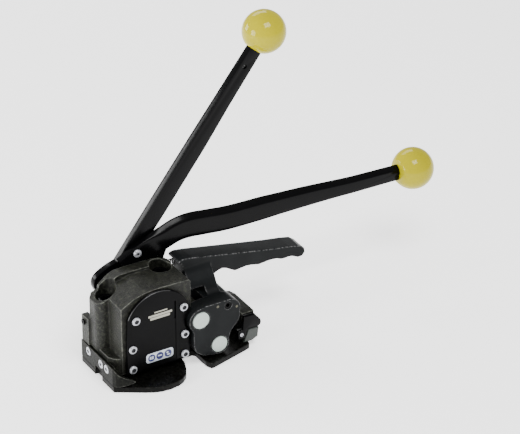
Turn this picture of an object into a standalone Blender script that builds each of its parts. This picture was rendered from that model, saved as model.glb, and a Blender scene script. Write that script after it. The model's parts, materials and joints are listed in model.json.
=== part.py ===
# Manual sealless steel-strapping tool: tensioner, punch sealer and cutter on one base.
# Frame: +X along the strap towards the tension side, +Y to the back, +Z up.
# Origin: underside of the base plate.  Lengths below are in millimetres and
# are turned into metres by MM when the meshes are written.
import bpy, bmesh
from math import sin, cos, pi, radians, atan2, hypot, sqrt
from mathutils import Vector, Matrix

MM = 0.001

# ---------------------------------------------------------------- dimensions
Q = 1                               # roundness factor of the facets
GAP = 0.3                           # gap left between touching pieces
BASE_T = 6.3                        # base plate thickness
CHANNEL_TOP = 10.8                  # roof of the strap channel
S1 = (6.5, 61.5)                    # sealing shaft axis, X Z
C1 = (52.0, 53.2)                   # rocker pivot axis
C2 = (73.0, 18.5)                   # feed wheel axis
PAWL = (70.0, 42.0)                 # drive pawl pivot
HOLD = (54.5, 34.0)                 # holding pawl pivot
KNOB_R = 22.5
KNOB1 = (168.5, 31.1, 315.5)        # sealing lever knob centre
KNOB2 = (345.8, 23.1, 112.7)        # tension lever knob centre
LEVER1_ANGLE = 51.8                 # slope of the sealing lever
ECC = 5.0                           # throw of the eccentric
ECC_PHASE = 127.5                   # direction of the throw at rest
ECC_R = 10.0
HOUSING_FRONT, HOUSING_BACK = -32.0, 19.0
COVER_FRONT = -36.3
ROCKER_FRONT, ROCKER_BLOCK_BACK = -42.0, -25.0
GRIP_FRONT, GRIP_BACK = -4.0, 18.0
TL_Y = (19.6, 26.6)                 # tension lever thickness span
SL_Y = (27.2, 35.0)                 # sealing lever thickness span

COVER_SCREWS = [(-19.4, 72.6), (-23.7, 40.6), (-23.9, 17.0), (34.8, 72.4), (35.7, 40.5), (35.4, 17.0)]
END_SCREWS = [(13.8, 18.9), (-12.4, 17.9), (-24.2, 18.5)]

for o in list(bpy.data.objects):
    bpy.data.objects.remove(o, do_unlink=True)

# ---------------------------------------------------------------- materials
def material(name, colour, rough, metal):
    m = bpy.data.materials.new(name)
    m.use_nodes = True
    b = m.node_tree.nodes["Principled BSDF"]
    b.inputs["Base Color"].default_value = (*colour, 1.0)
    b.inputs["Roughness"].default_value = rough
    b.inputs["Metallic"].default_value = metal
    m.diffuse_color = (*colour, 1.0)
    return m

CAST = material("dark_casting", (0.045, 0.047, 0.043), 0.55, 0.4)
STEEL_BLACK = material("black_steel", (0.015, 0.015, 0.016), 0.35, 0.4)
COVER = material("black_cover", (0.02, 0.02, 0.022), 0.45, 0.1)
ROCKER = material("dark_rocker", (0.03, 0.032, 0.034), 0.4, 0.3)
GRIPM = material("black_grip", (0.015, 0.015, 0.015), 0.45, 0.0)
YELLOW = material("yellow_knob", (0.85, 0.78, 0.02), 0.15, 0.0)
ZINC = material("bright_screw", (0.75, 0.76, 0.78), 0.25, 1.0)
PIN = material("ground_pin", (0.62, 0.66, 0.62), 0.5, 0.7)
TOOL = material("tool_steel", (0.4, 0.4, 0.4), 0.35, 1.0)
BRONZE = material("bronze", (0.5, 0.33, 0.12), 0.35, 1.0)
GUIDE = material("bare_guide", (0.2, 0.22, 0.2), 0.5, 0.5)
SPRING = material("spring_wire", (0.35, 0.35, 0.36), 0.3, 1.0)
LABEL = material("label", (0.8, 0.8, 0.8), 0.5, 0.0)

# ---------------------------------------------------------------- shape tools
def finish(name, bm, mat, origin=None):
    bmesh.ops.recalc_face_normals(bm, faces=bm.faces)
    me = bpy.data.meshes.new(name)
    bm.to_mesh(me)
    bm.free()
    ob = bpy.data.objects.new(name, me)
    bpy.context.scene.collection.objects.link(ob)
    if origin is not None:
        o = Vector(origin) * MM
        me.transform(Matrix.Translation(-o))
        ob.location = o
    me.materials.append(mat)
    me.shade_smooth()
    me.set_sharp_from_angle(angle=radians(32))
    return ob

def place(axis, a, b, h):
    # a, b: the two coordinates across the axis, h: the coordinate along it
    if axis == "X": return (h, a, b)
    if axis == "Y": return (a, h, b)
    return (a, b, h)

def prism_bm(pts, axis, lo, hi):
    bm = bmesh.new()
    low = [bm.verts.new(Vector(place(axis, a, b, lo)) * MM) for a, b in pts]
    top = [bm.verts.new(Vector(place(axis, a, b, hi)) * MM) for a, b in pts]
    bm.faces.new(low)
    bm.faces.new(top)
    n = len(pts)
    for i in range(n):
        bm.faces.new((low[i], low[(i + 1) % n], top[(i + 1) % n], top[i]))
    return bm

def prism(name, pts, axis, lo, hi, mat, origin=None):
    return finish(name, prism_bm(pts, axis, lo, hi), mat, origin)

def block(name, x, y, z, mat, origin=None):
    return prism(name, [(x[0], y[0]), (x[1], y[0]), (x[1], y[1]), (x[0], y[1])], "Z", z[0], z[1], mat, origin)

def ring_pts(c, r, n):
    return [(c[0] + r * cos(2 * pi * i / n), c[1] + r * sin(2 * pi * i / n)) for i in range(n)]

def arc(c, r, a0, a1, n):
    return [(c[0] + r * cos(radians(a0 + (a1 - a0) * i / n)), c[1] + r * sin(radians(a0 + (a1 - a0) * i / n))) for i in range(n + 1)]

def cyl(name, c, r, axis, lo, hi, mat, n=20, origin=None):
    return prism(name, ring_pts(c, r, n * Q), axis, lo, hi, mat, origin)

def turned_bm(profile, base, direction, n):
    # profile: (height along the direction, radius) from one end to the other.
    # a radius of 0 closes on the axis; otherwise the profile is a closed loop
    d = Vector(direction).normalized()
    u = d.orthogonal().normalized()
    v = d.cross(u)
    bm = bmesh.new()
    rows = []
    for h, r in profile:
        c = Vector(base) + d * h
        if r < 1e-6:
            rows.append([bm.verts.new(c * MM)])
        else:
            rows.append([bm.verts.new((c + u * r * cos(2 * pi * i / n) + v * r * sin(2 * pi * i / n)) * MM) for i in range(n)])
    closed = profile[0][1] > 1e-6 and profile[-1][1] > 1e-6
    m = len(rows)
    for k in range(m if closed else m - 1):
        p, q = rows[k], rows[(k + 1) % m]
        for i in range(n):
            j = (i + 1) % n
            if len(p) == 1 and len(q) == 1:
                continue
            if len(p) == 1:
                bm.faces.new((p[0], q[i], q[j]))
            elif len(q) == 1:
                bm.faces.new((p[i], p[j], q[0]))
            else:
                bm.faces.new((p[i], p[j], q[j], q[i]))
    return bm

def turned(name, profile, base, direction, mat, n=20, origin=None):
    return finish(name, turned_bm(profile, base, direction, n * Q), mat, origin)

def tube(name, c, ro, ri, lo, hi, mat, n=20, origin=None):
    return turned(name, [(lo, ro), (hi, ro), (hi, ri), (lo, ri)], (c[0], 0, c[1]), (0, 1, 0), mat, n, origin)

def combine(ob, other, op):
    # joins, cuts or intersects ob with other, and removes other
    m = ob.modifiers.new("b", "BOOLEAN")
    m.operation = op
    m.solver = "EXACT"
    m.object = other
    bpy.context.view_layer.update()
    dg = bpy.context.evaluated_depsgraph_get()
    new = bpy.data.meshes.new_from_object(ob.evaluated_get(dg))
    ob.modifiers.clear()
    old = ob.data
    ob.data = new
    new.name = ob.name
    mats = [s for s in old.materials][:1]
    new.materials.clear()
    for s in mats:
        new.materials.append(s)
    for p in new.polygons:
        p.material_index = 0
    bpy.data.objects.remove(other, do_unlink=True)
    bpy.data.meshes.remove(old)
    new.shade_smooth()
    new.set_sharp_from_angle(angle=radians(32))
    return ob

def cut(ob, *others):
    for o in others: combine(ob, o, "DIFFERENCE")
    return ob

def join(ob, *others):
    for o in others: combine(ob, o, "UNION")
    return ob

def keep(ob, other):
    return combine(ob, other, "INTERSECT")

def capsule(c0, r0, c1, r1, n=8):
    # outline round two circles
    a = atan2(c1[1] - c0[1], c1[0] - c0[0]) * 180 / pi
    d = hypot(c1[0] - c0[0], c1[1] - c0[1])
    s = (r0 - r1) / d
    t = 90 - (0 if abs(s) < 1e-9 else atan2(s, sqrt(1 - s * s)) * 180 / pi)
    return arc(c0, r0, a + t, a + 360 - t, n * Q) + arc(c1, r1, a - t, a + t, n * Q)

def bar_sweep(name, path, halfs, y, mat, n=12, origin=None, power=3.0):
    # a bar of rounded section along an XZ path; halfs = half heights, y = (low, high)
    bm = bmesh.new()
    yc, hy = (y[0] + y[1]) / 2, (y[1] - y[0]) / 2
    rows = []
    for i, (x, z) in enumerate(path):
        x0, z0 = path[max(i - 1, 0)]
        x1, z1 = path[min(i + 1, len(path) - 1)]
        t = Vector((x1 - x0, z1 - z0)).normalized()
        nrm = Vector((-t.y, t.x))
        row = []
        for k in range(n):
            a = 2 * pi * (k + 0.5) / n
            ca, sa = cos(a), sin(a)
            f = (abs(ca) ** power + abs(sa) ** power) ** (-1 / power)
            yy = yc + max(-hy, min(hy, hy * ca * f * 1.03))
            hh = max(-1, min(1, sa * f * 1.03)) * halfs[i]
            row.append(bm.verts.new(Vector((x + nrm.x * hh, yy, z + nrm.y * hh)) * MM))
        rows.append(row)
    for r0, r1 in zip(rows, rows[1:]):
        for k in range(n):
            j = (k + 1) % n
            bm.faces.new((r0[k], r0[j], r1[j], r1[k]))
    bm.faces.new(rows[0])
    bm.faces.new(rows[-1])
    return finish(name, bm, mat, origin)

def catmull(pts, per):
    out = []
    for i in range(len(pts) - 1):
        p0, p1, p2, p3 = pts[max(i - 1, 0)], pts[i], pts[i + 1], pts[min(i + 2, len(pts) - 1)]
        for k in range(per):
            t = k / per
            out.append(tuple(0.5 * (2 * b + (c - a) * t + (2 * a - 5 * b + 4 * c - d) * t * t + (3 * b - a - 3 * c + d) * t ** 3)
                             for a, b, c, d in zip(p0, p1, p2, p3)))
    out.append(tuple(pts[-1]))
    return out

# ---------------------------------------------------------------- base
BASE_OUT = [(-48, 27.6), (-48, -1.3), (-45, -1.3), (-45, -15), (-48, -15), (-48, -40.4), (-21.5, -57.0),
            (-13, -61.6), (-6, -64.0), (5, -64.6), (14.4, -63.2), (21, -60), (26.5, -55.2), (30.6, -48.5), (33.5, -42), (35.6, -36), (36.3, -31), (36.3, -24),
            (38.3, -21.5), (52, -21.5), (54, -24), (54.3, -34), (54.6, -46), (57.4, -52.8), (62, -52.2), (104, -41.0), (109.6, -39.0), (110.4, -36.5), (110.4, -26), (122, -26), (122, 27.6)]
base = prism("base_plate", BASE_OUT, "Z", 0, BASE_T, CAST)
cut(base,
    block("c", (-22, 24), (-27, -5), (2.8, 9), CAST),
    block("c", (59, 87), (-24.3, -11.7), (2.8, 9), CAST),
    cyl("c", (-30.5, 5), 4.4, "Z", 1.5, 9, CAST),
    cyl("c", (31.5, 5), 4.4, "Z", 1.5, 9, CAST))

die = block("die_plate", (-21.7, 23.7), (-26.7, -5.3), (3.1, 6.2), TOOL)
for x in (-9.0, 7.0):
    cut(die, block("c", (x - 3.4, x + 3.4), (-22.4, -9.6), (2, 8), TOOL))
cut(die, block("c", (16.0, 18.8), (-24.4, -7.6), (2, 8), TOOL))

gripper = [(59.3, 3.1), (86.7, 3.1)]
n = 12
for i in range(n):
    x1 = 86.7 - (86.7 - 59.3) * i / n
    x0 = 86.7 - (86.7 - 59.3) * (i + 1) / n
    gripper += [(x1, 6.0), ((x0 + x1) / 2, 5.2)]
gripper += [(59.3, 6.0)]
prism("gripper_insert", gripper, "Y", -24.0, -12.0, TOOL)

block("strap_back_stop", (-40, 100), (-3.0, -0.6), (6.6, 10.4), TOOL)

# end guide plate: wall along the strap end, drawn out to a beak round the left foot
def loft(name, stations, mat):
    # stations: (outer XY, inner XY, low Z, high Z)
    bm = bmesh.new()
    rows = [[bm.verts.new(Vector((q[0], q[1], z)) * MM) for q, z in ((o, lo), (o, hi), (i, hi), (i, lo))] for o, i, lo, hi in stations]
    for r0, r1 in zip(rows, rows[1:]):
        for k in range(4):
            bm.faces.new((r0[k], r0[(k + 1) % 4], r1[(k + 1) % 4], r1[k]))
    bm.faces.new(rows[0])
    bm.faces.new(rows[-1])
    return finish(name, bm, mat)
plate = loft("end_guide_plate", [
    ((-48, 27.6), (-44.3, 27.6), 6.6, 26.0), ((-48, -38), (-44.3, -37), 6.6, 26.1),
    ((-46.6, -42.3), (-43.2, -39.5), 6.6, 23.8), ((-44.2, -45.5), (-41.3, -42.4), 7.6, 20.8), ((-40.5, -48.2), (-38.4, -45.2), 9.0, 18.9),
    ((-37, -50), (-35.6, -47.0), 9.8, 17.2), ((-32, -51.2), (-31.2, -48.6), 11.0, 14.8), ((-29.0, -51.2), (-29.0, -50.0), 11.8, 13.0)], CAST)
cut(plate, prism("c", [(-15.3, 5), (-1.0, 5), (-1.0, 10.6), (-15.3, 10.6)], "X", -60, -20, CAST))
for y, z in END_SCREWS:
    cut(plate, turned("c", [(-2, 0), (-2, 5.0), (1.9, 5.0), (1.9, 2.7), (10, 2.7), (10, 0)], (-48, y, z), (1, 0, 0), CAST, 16))

# ---------------------------------------------------------------- sealer housing
HOUSE = [(-33.3, 6.6), (46.0, 6.6), (46.0, 96.6), (44.2, 98.6), (30, 99.2), (10, 99.6), (-5, 98.8), (-18, 95.6), (-33.3, 87.2)]
house = prism("sealer_housing", HOUSE, "Y", HOUSING_FRONT, HOUSING_BACK, CAST)
colm = prism("c", [(-45.5, 12.5)] + arc((-36.5, 2.5), 9.0, 180, 262, 6 * Q) + [(-20, -6.4), (-20, 18.6), (-40.5, 18.6)], "Z", 6.8, 97, CAST)
keep(colm, prism("k", [(-60, 6.9), (-60, 76.5), (-45.5, 82.0), (-33.3, 87.0), (-18, 95.2), (-10, 96), (-10, 6.9)], "Y", -20, 30, CAST))
join(house, colm)
join(house, prism("c", [(-43.9, 18.2), (-43.9, -21), (-40.5, -27.5), (-36, -30.5), (-30, -31), (-30, 18.2)], "Z", 7.0, 30.0, CAST))
# lug for the pivot pin on the tension side, and back lug
join(house, prism("c", capsule((44.0, 53.2), 11.0, C1, 11.0), "Y", -24.4, 2.0, CAST))
join(house, block("c", (-47.4, -40), (12, 26.4), (27, 57), CAST))
# raised band along the rear of the top
join(house, prism("c", [(-33, 70), (45.8, 70), (45.8, 93.2), (43.0, 97.5), (38, 100.6), (30, 101.8), (10, 102.4), (-5, 102.6), (-16, 101.9), (-24, 97.8), (-33, 90.5)], "Y", 6.0, 18.9, CAST))
# seat for the return spring
join(house, block("c", (40, 45.8), (7.2, 15.8), (88, 98.6), CAST))
# seat for the end guide plate
cut(house, block("c", (-60, -44.0), (-60, 30), (0, 26.4), CAST))
# strap channel under the front half
cut(house, block("c", (-60, 70), (-50, 0), (-5, CHANNEL_TOP), CAST))
# working cavity, open to the front and to the channel
cut(house, prism("c", [(-14.5, -5), (20.5, -5), (20.5, 86), (-14.5, 86)], "Y", -50, -6, CAST))
# room for the inner end of the front bush boss
cut(house, cyl("c", S1, 13.6, "Y", -50, -24.9, CAST, 24))
# rocker relief
cut(house, block("c", (42.9, 60), (-50, -24.6), (-5, 60), CAST), cyl("c", C1, 15.0, "Y", -50, -24.55, CAST, 32))
# bores
cut(house, cyl("c", S1, 12.8, "Y", -10, 30, CAST, 28), cyl("c", C1, 6.3, "Y", -30, 12, CAST, 20))
for (x, z0) in ((-30.5, 72.0), (31.5, 84.0)):
    cut(house, cyl("c", (x, 5), 10.5 if x < 0 else 11.5, "Z", z0, 120, CAST, 24), cyl("c", (x, 5), 4.4, "Z", -5, z0 + 1, CAST, 16))
for x, z in COVER_SCREWS:
    cut(house, cyl("c", (x, z), 2.7, "Y", -40, -26.5, CAST, 12))
for y, z in END_SCREWS:
    cut(house, cyl("c", (y, z), 2.7, "X", -50, -37.5, CAST, 12))
cut(house, cyl("c", (21.5, 50.0), 2.4, "X", -50, -42.5, CAST, 12))

for i, (x, z0) in enumerate(((-30.5, 72.0), (31.5, 84.0))):
    turned("housing_bolt_" + ("left", "right")[i],
           [(0, 0), (0, 4.0), (z0 + GAP - 2.0, 4.0), (z0 + GAP - 2.0, 7.6), (z0 + 9.5 - 2.0, 7.6), (z0 + 9.5 - 2.0, 4.4), (z0 + 4.5 - 2.0, 4.4), (z0 + 4.5 - 2.0, 0)],
           (x, 5, 2.0), (0, 0, 1), STEEL_BLACK, 16)

# ---------------------------------------------------------------- front cover
right = 42.5
za = S1[1] + sqrt(37.0 ** 2 - (right - S1[0]) ** 2)
ang0 = atan2(za - S1[1], right - S1[0]) * 180 / pi
zl = S1[1] + sqrt(37.0 ** 2 - (S1[0] + 27.8) ** 2)
ang1 = atan2(zl - S1[1], -27.8 - S1[0]) * 180 / pi
dz = sqrt(15.2 ** 2 - (C1[0] - right) ** 2)
b0 = atan2(dz, right - C1[0]) * 180 / pi
cover_out = [(-30.3, 12.8), (-28.4, 10.9), (26, 10.9), (30, 12.4), (34, 10.9), (40.5, 10.9), (42.5, 12.5)] + arc(C1, 15.2, 360 - b0, b0, 8 * Q) + arc(S1, 37.0, ang0, ang1, 16 * Q)
cover = prism("front_cover", cover_out, "Y", COVER_FRONT, HOUSING_FRONT - GAP, COVER)
join(cover, cyl("c", S1, 13.2, "Y", -34, -26.0, COVER, 24))
cut(cover, cyl("c", S1, 10.3, "Y", -33.6, -20, COVER, 24))
for x, z in COVER_SCREWS:
    cut(cover, cyl("c", (x, z), 2.7, "Y", -40, -30, COVER, 12))
cut(cover, block("c", (25.2, 26.3), (-40, COVER_FRONT + 0.8), (13, 80), COVER), block("c", (24.0, 26.3), (-40, COVER_FRONT + 1.5), (62, 82), COVER))

def cap_screw(name, base, direction, rh, hh, rs, ls, mat, origin=None):
    # base: under the head; direction: out of the head
    return turned(name, [(-ls, 0), (-ls, rs), (0, rs), (0, rh), (hh * 0.7, rh), (hh, rh * 0.75), (hh, 0)], base, direction, mat, 12, origin)

for i, (x, z) in enumerate(COVER_SCREWS):
    cap_screw("cover_screw_%d" % (i + 1), (x, COVER_FRONT - GAP, z), (0, -1, 0), 4.4, 2.2, 2.35, 9.0, ZINC)
for i, (y, z) in enumerate(END_SCREWS):
    cap_screw("end_plate_screw_%d" % (i + 1), (-46.4, y, z), (-1, 0, 0), 4.7, 1.5, 2.35, 7.5, ZINC)
cap_screw("lug_screw", (-47.7, 21.5, 50), (-1, 0, 0), 3.4, 0.0 + 1.4, 2.0, 4.5, STEEL_BLACK)

block("instruction_sticker", (-8.7, 22.2), (-37.0, -36.6), (18.5, 29.6), LABEL)
block("name_plate", (-6.0, 22.0), (-37.0, -36.6), (68.0, 77.0), LABEL)

# ---------------------------------------------------------------- sealing shaft, lever and knob
phi = radians(ECC_PHASE)
E = (S1[0] + ECC * cos(phi), S1[1] + ECC * sin(phi))
o_s1 = (S1[0], 0, S1[1])
shaft = turned("sealing_shaft", [(-33.2, 0), (-33.2, 7.0), (-24.7, 7.0), (-24.7, 4.5), (-7.75, 4.5), (-7.75, 9.0), (26.8, 9.0), (26.8, 7.0), (35.2, 7.0), (35.2, 5.0), (44.0, 5.0), (44.0, 0)],
               (S1[0], 0, S1[1]), (0, 1, 0), TOOL, 24, o_s1)
join(shaft, cyl("c", E, ECC_R, "Y", -24.4, -7.6, TOOL, 28))
tube("shaft_bush_front", S1, 10.0, 7.3, -33.3, -26.2, BRONZE, 20)
tube("shaft_bush_rear", S1, 12.5, 9.3, -5.7, 18.7, BRONZE, 24)

u1 = (cos(radians(LEVER1_ANGLE)), sin(radians(LEVER1_ANGLE)))
n1 = (-u1[1], u1[0])
A0 = (1.3, 102.8)
t_end = (KNOB1[0] - A0[0]) * u1[0] + (KNOB1[2] - A0[1]) * u1[1]
def on1(t, s): return (A0[0] + u1[0] * t + n1[0] * s, A0[1] + u1[1] * t + n1[1] * s)
te = t_end - 20.6
lever1 = prism("sealing_lever", [on1(-30, -13.0), on1(70, -13.0), on1(141, -12.0), on1(190, -9.8), on1(te, -8.3), on1(te, 6.2), on1(190, 6.3), on1(141, 6.5), on1(70, 6.1), on1(-3.7, 5.3)], "Y", SL_Y[0], SL_Y[1], STEEL_BLACK, o_s1)
# the root is a broad plate with a lobe to the left
arm1 = prism("c", arc(S1, 15.0, 215, 380, 10 * Q) + [on1(-28, -12.6), on1(2, -12.6), on1(2, 5.0), (-5.2, 103.2), (-12.8, 101.0), (-19.5, 98.1), (-24.0, 95.8), (-27.2, 93.5), (-29.4, 91.2), (-30.8, 88.8), (-31.7, 86.0), (-31.7, 81.7), (-29.5, 76.0)],
             "Y", SL_Y[0] + 0.2, SL_Y[1] - 0.3, STEEL_BLACK)
join(lever1, arm1)
b1 = (KNOB1[0] - u1[0] * 26, KNOB1[1], KNOB1[2] - u1[1] * 26)
join(lever1, turned("c", [(0, 0), (0, 3.6), (20, 3.6), (20, 0)], b1, (u1[0], 0, u1[1]), STEEL_BLACK, 12))
cut(lever1, cyl("c", S1, 7.3, "Y", 20, 40, STEEL_BLACK, 20))
hx = on1(t_end - 40, 0)
cut(lever1, cyl("c", hx, 2.4, "Y", 20, 40, STEEL_BLACK, 12))

def knob(name, centre, direction, origin, flat):
    # ball with a blind bore and a flat, which face the lever
    a0 = 180 - 180 / pi * atan2(sqrt(KNOB_R ** 2 - flat ** 2), flat)
    m = 12 * Q
    prof = [(-3.0, 0), (-3.0, 4.0), (-flat, 4.0)]
    for i in range(m + 1):
        a = radians(a0 * (1 - i / m))
        prof.append((KNOB_R * cos(a), KNOB_R * sin(a) if i < m else 0))
    return turned(name, prof, centre, direction, YELLOW, 24, origin)
knob("sealing_knob", KNOB1, (u1[0], 0, u1[1]), o_s1, 20.2)
tube("shaft_washer", S1, 11.0, 5.3, 35.5, 37.3, ZINC, 20, o_s1)
nut = prism("shaft_nut", ring_pts(S1, 9.0, 6), "Y", 37.6, 43.6, ZINC, o_s1)
cut(nut, cyl("c", S1, 5.3, "Y", 30, 50, ZINC, 16))

# ---------------------------------------------------------------- punch carrier and tools
car = block("punch_carrier", (-14.1, 20.1), (-24.2, -8.0), (23.0, 80.0), TOOL)
cut(car, block("c", (S1[0] - 15.6, S1[0] + 7.6), (-30, 0), (E[1] - 10.7, E[1] + 10.7), TOOL))
for i, x in enumerate((-9.0, 7.0)):
    block("punch_%d" % (i + 1), (x - 3.0, x + 3.0), (-22.0, -10.0), (11.6, 22.7), TOOL)
prism("strap_cutter", [(16.3, 11.9), (18.5, 11.6), (18.5, 22.7), (16.3, 22.7)], "Y", -24.0, -8.0, TOOL)

# ---------------------------------------------------------------- tension lever
path = [(-1, 97.6), (12, 104.5), (30, 112.6), (48.3, 119.6), (62, 123.8), (76.3, 124.6), (95, 122.5), (122.8, 119.6), (170, 118.6), (217.7, 117.2), (270, 114.6)]
kd = Vector((KNOB2[0] - 270, KNOB2[2] - 114.6)).normalized()
tend = (KNOB2[0] - kd.x * 19.0, KNOB2[2] - kd.y * 19.0)
sm = catmull(path, 3 * Q) + [tend]
tot = len(sm) - 1
depth = [(-10, 12.2), (50, 12.6), (75, 13.0), (110, 12.8), (160, 12.4), (182, 11.5), (205, 10.8), (252, 9.0), (298, 8.0), (400, 7.6)]
def half_at(x):
    for (x0, h0), (x1, h1) in zip(depth, depth[1:]):
        if x <= x1:
            return h0 + (h1 - h0) * (x - x0) / (x1 - x0)
halfs = [half_at(p[0]) for p in sm]
lever2 = bar_sweep("tension_lever", sm, halfs, TL_Y, STEEL_BLACK, 12 * Q, o_s1, 8.0)
web = prism("c", arc(S1, 15.0, 150, 282, 10 * Q) + [(24, 58.0), (40, 72), (44, 98), (50, 113), (-2, 94)], "Y", TL_Y[0] + 0.25, TL_Y[1] - 0.3, STEEL_BLACK)
join(web, prism("c", capsule((12, 60), 9.0, PAWL, 7.5), "Y", TL_Y[0] + 0.45, TL_Y[1] - 0.5, STEEL_BLACK))
join(lever2, web)
join(lever2, turned("c", [(0, 0), (0, 3.6), (20, 3.6), (20, 0)], (KNOB2[0] - kd.x * 26, KNOB2[1], KNOB2[2] - kd.y * 26), (kd.x, 0, kd.y), STEEL_BLACK, 12))
cut(lever2, cyl("c", S1, 9.3, "Y", 15, 30, STEEL_BLACK, 24), cyl("c", PAWL, 3.3, "Y", 15, 30, STEEL_BLACK, 14),
    cyl("c", (13.5, 112.5), 2.3, "Y", 15, 30, STEEL_BLACK, 12))
knob("tension_knob", KNOB2, (kd.x, 0, kd.y), o_s1, 18.6)
cap_screw("lever_stop_screw", (13.5, 19.3, 112.5), (0, -1, 0), 4.2, 2.6, 2.0, 6.5, ZINC, o_s1)
turned("pawl_pin", [(19.3, 0), (19.3, 3.0), (31.4, 3.0), (31.4, 4.6), (33.0, 4.6), (33.0, 0)], (PAWL[0], 0, PAWL[1]), (0, 1, 0), TOOL, 14, o_s1)

pw = prism("drive_pawl", capsule(PAWL, 6.0, (78.0, 40.5), 3.4, 6)[:0] + arc(PAWL, 6.0, 60, 290, 8 * Q) + [(74.5, 34.6), (79.6, 34.0), (81.8, 36.4), (78.5, 44.0)], "Y", 26.9, 31.1, TOOL, (PAWL[0], 0, PAWL[1]))
cut(pw, cyl("c", PAWL, 3.3, "Y", 20, 40, TOOL, 14))

# ---------------------------------------------------------------- rocker with grip
o_c1 = (C1[0], 0, C1[1])
front = arc(C1, 13.5, 106, 222, 8 * Q) + [(43.4, 40), (43.4, 24), (46.5, 16.5), (54, 10.8)] + arc(C2, 11.4, 258, 378, 8 * Q) + \
        [(84.9, 26.2), (86.6, 30.6)] + arc((81.2, 48.3), 16.0, -50, 10, 5 * Q) + arc((84.0, 54.4), 13.6, 2, 88, 6 * Q) + [(58, 68.0)]
rock = prism("rocker_body", front, "Y", ROCKER_FRONT, ROCKER_BLOCK_BACK, ROCKER, o_c1)
bridge = [(64.8, 38), (90, 36), (96.6, 46), (97.2, 54), (95.5, 61.0), (91.0, 65.6), (85, 67.2), (64.8, 67.4)]
join(rock, prism("c", bridge, "Y", ROCKER_BLOCK_BACK - 2, 12.0, ROCKER))
neck = [(66, 51), (94, 50), (93.6, 58), (89.6, 63.5), (85.4, 67.6), (84.8, 70.4), (85.7, 73.6), (88.5, 76.5), (92.2, 78.4), (95.7, 79.6), (99.5, 80.0), (103.6, 78.6), (108, 76.0), (111.5, 73.8), (114.1, 72.6),
        (118, 73.0), (120.8, 73.5), (127, 74.0), (133, 73.4), (137, 72.4), (141, 71.4), (144, 71.4), (150, 72.0), (157, 72.3), (163.7, 71.5), (167, 70.0), (169.8, 69.1),
        (173, 69.0), (178, 69.5), (181.9, 68.8), (185.5, 67.0), (189.0, 65.4), (193.8, 65.6), (197.0, 69.8), (196.2, 74.6), (190, 79.0), (178, 81.7), (160, 84.5), (120, 92.3),
        (64, 103.4), (56, 104.4), (51.8, 104.4), (48.9, 103.6), (48.0, 102.2), (48.5, 100.8), (50.4, 99.9), (52.8, 99.5), (52.8, 91.5), (52.8, 86.5), (53.6, 81.0), (55.2, 76.0), (58.4, 71.6), (62.4, 68.2), (65.0, 64.0), (65.6, 60.0)]
join(rock, prism("c", neck, "Y", GRIP_FRONT, GRIP_BACK, ROCKER))
# the grip's front face swells into a scoop that runs out over the block
swell = [(-3, 99), (-3.9, 94), (-6.2, 89), (-10.0, 84.6), (-13.6, 80.4), (-16.0, 76.4)]
scoop = catmull(swell + [(-19.4, 71.6), (-23.0, 68.6), (-26.8, 67.4)], 2 * Q)
join(rock, prism("c", scoop + [(-26.8, 60), (-3, 60)], "X", 70.0, 84.6, ROCKER))
lip = catmull(swell + [(-15.6, 74.6), (-13.0, 73.4), (-8.4, 72.2), (-3, 70.6)], 2 * Q)
join(rock, prism("c", lip, "X", 54.2, 70.6, ROCKER))
cheek = [(64.6, 66), (62.6, 54), (59.5, 42)] + arc(HOLD, 6.0, 60, 250, 6 * Q) + [(58.5, 24)] + arc(C2, 11.4, 195, 350, 7 * Q) + [(92.0, 42), (94, 60)]
join(rock, prism("c", cheek, "Y", 6.0, GRIP_BACK - 0.3, ROCKER))
cut(rock, cyl("c", C1, 9.8, "Y", -50, -37.0, ROCKER, 24), cyl("c", C1, 6.3, "Y", -50, -20, ROCKER, 20))
cut(rock, cyl("c", C2, 9.5, "Y", -50, -37.0, ROCKER, 24), cyl("c", C2, 8.3, "Y", -50, 30, ROCKER, 20))
cut(rock, cyl("c", (83.4, 60.9), 4.1, "Y", -50, -34.0, ROCKER, 14), cyl("c", HOLD, 3.3, "Y", 0, 30, ROCKER, 14))
tube("wheel_bush_front", C2, 8.0, 6.3, -36.6, -25.3, BRONZE, 18, o_c1)
tube("wheel_bush_rear", C2, 8.0, 6.3, 6.3, 17.6, BRONZE, 18, o_c1)
turned("rocker_set_screw", [(-39.6, 0), (-39.6, 2.0), (-40.8, 2.0), (-40.8, 3.8), (-34.4, 3.8), (-34.4, 0)], (83.4, 0, 60.9), (0, 1, 0), STEEL_BLACK, 12, o_c1)
turned("holding_pawl_pin", [(5.4, 0), (5.4, 3.0), (31.4, 3.0), (31.4, 4.6), (32.8, 4.6), (32.8, 0)], (HOLD[0], 0, HOLD[1]), (0, 1, 0), TOOL, 14, o_c1)
turned("rocker_pivot_pin", [(-42.4, 0), (-42.4, 8.8), (-41.9, 9.2), (-37.4, 9.2), (-37.4, 6.0), (2.4, 6.0), (2.4, 0)], (C1[0], 0, C1[1]), (0, 1, 0), PIN, 24)

# ---------------------------------------------------------------- feed wheel group
o_c2 = (C2[0], 0, C2[1])
turned("feed_wheel_shaft", [(-42.4, 0), (-42.4, 8.3), (-41.9, 8.7), (-37.4, 8.7), (-37.4, 6.0), (34.4, 6.0), (34.4, 0)], (C2[0], 0, C2[1]), (0, 1, 0), PIN, 24, o_c2)
def toothed(c, r_in, r_out, teeth, lean):
    out = []
    for i in range(teeth):
        a = 2 * pi * i / teeth
        out.append((c[0] + r_in * cos(a), c[1] + r_in * sin(a)))
        a += 2 * pi / teeth * lean
        out.append((c[0] + r_out * cos(a), c[1] + r_out * sin(a)))
    return out
wheel = prism("feed_wheel", toothed(C2, 10.3, 11.0, 36, 0.5), "Y", -23.0, -13.0, TOOL, o_c2)
cut(wheel, cyl("c", C2, 6.3, "Y", -40, 0, TOOL, 18))
rat = prism("ratchet_wheel", toothed(C2, 9.6, 12.0, 16, 0.85), "Y", 26.9, 31.1, TOOL, o_c2)
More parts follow.
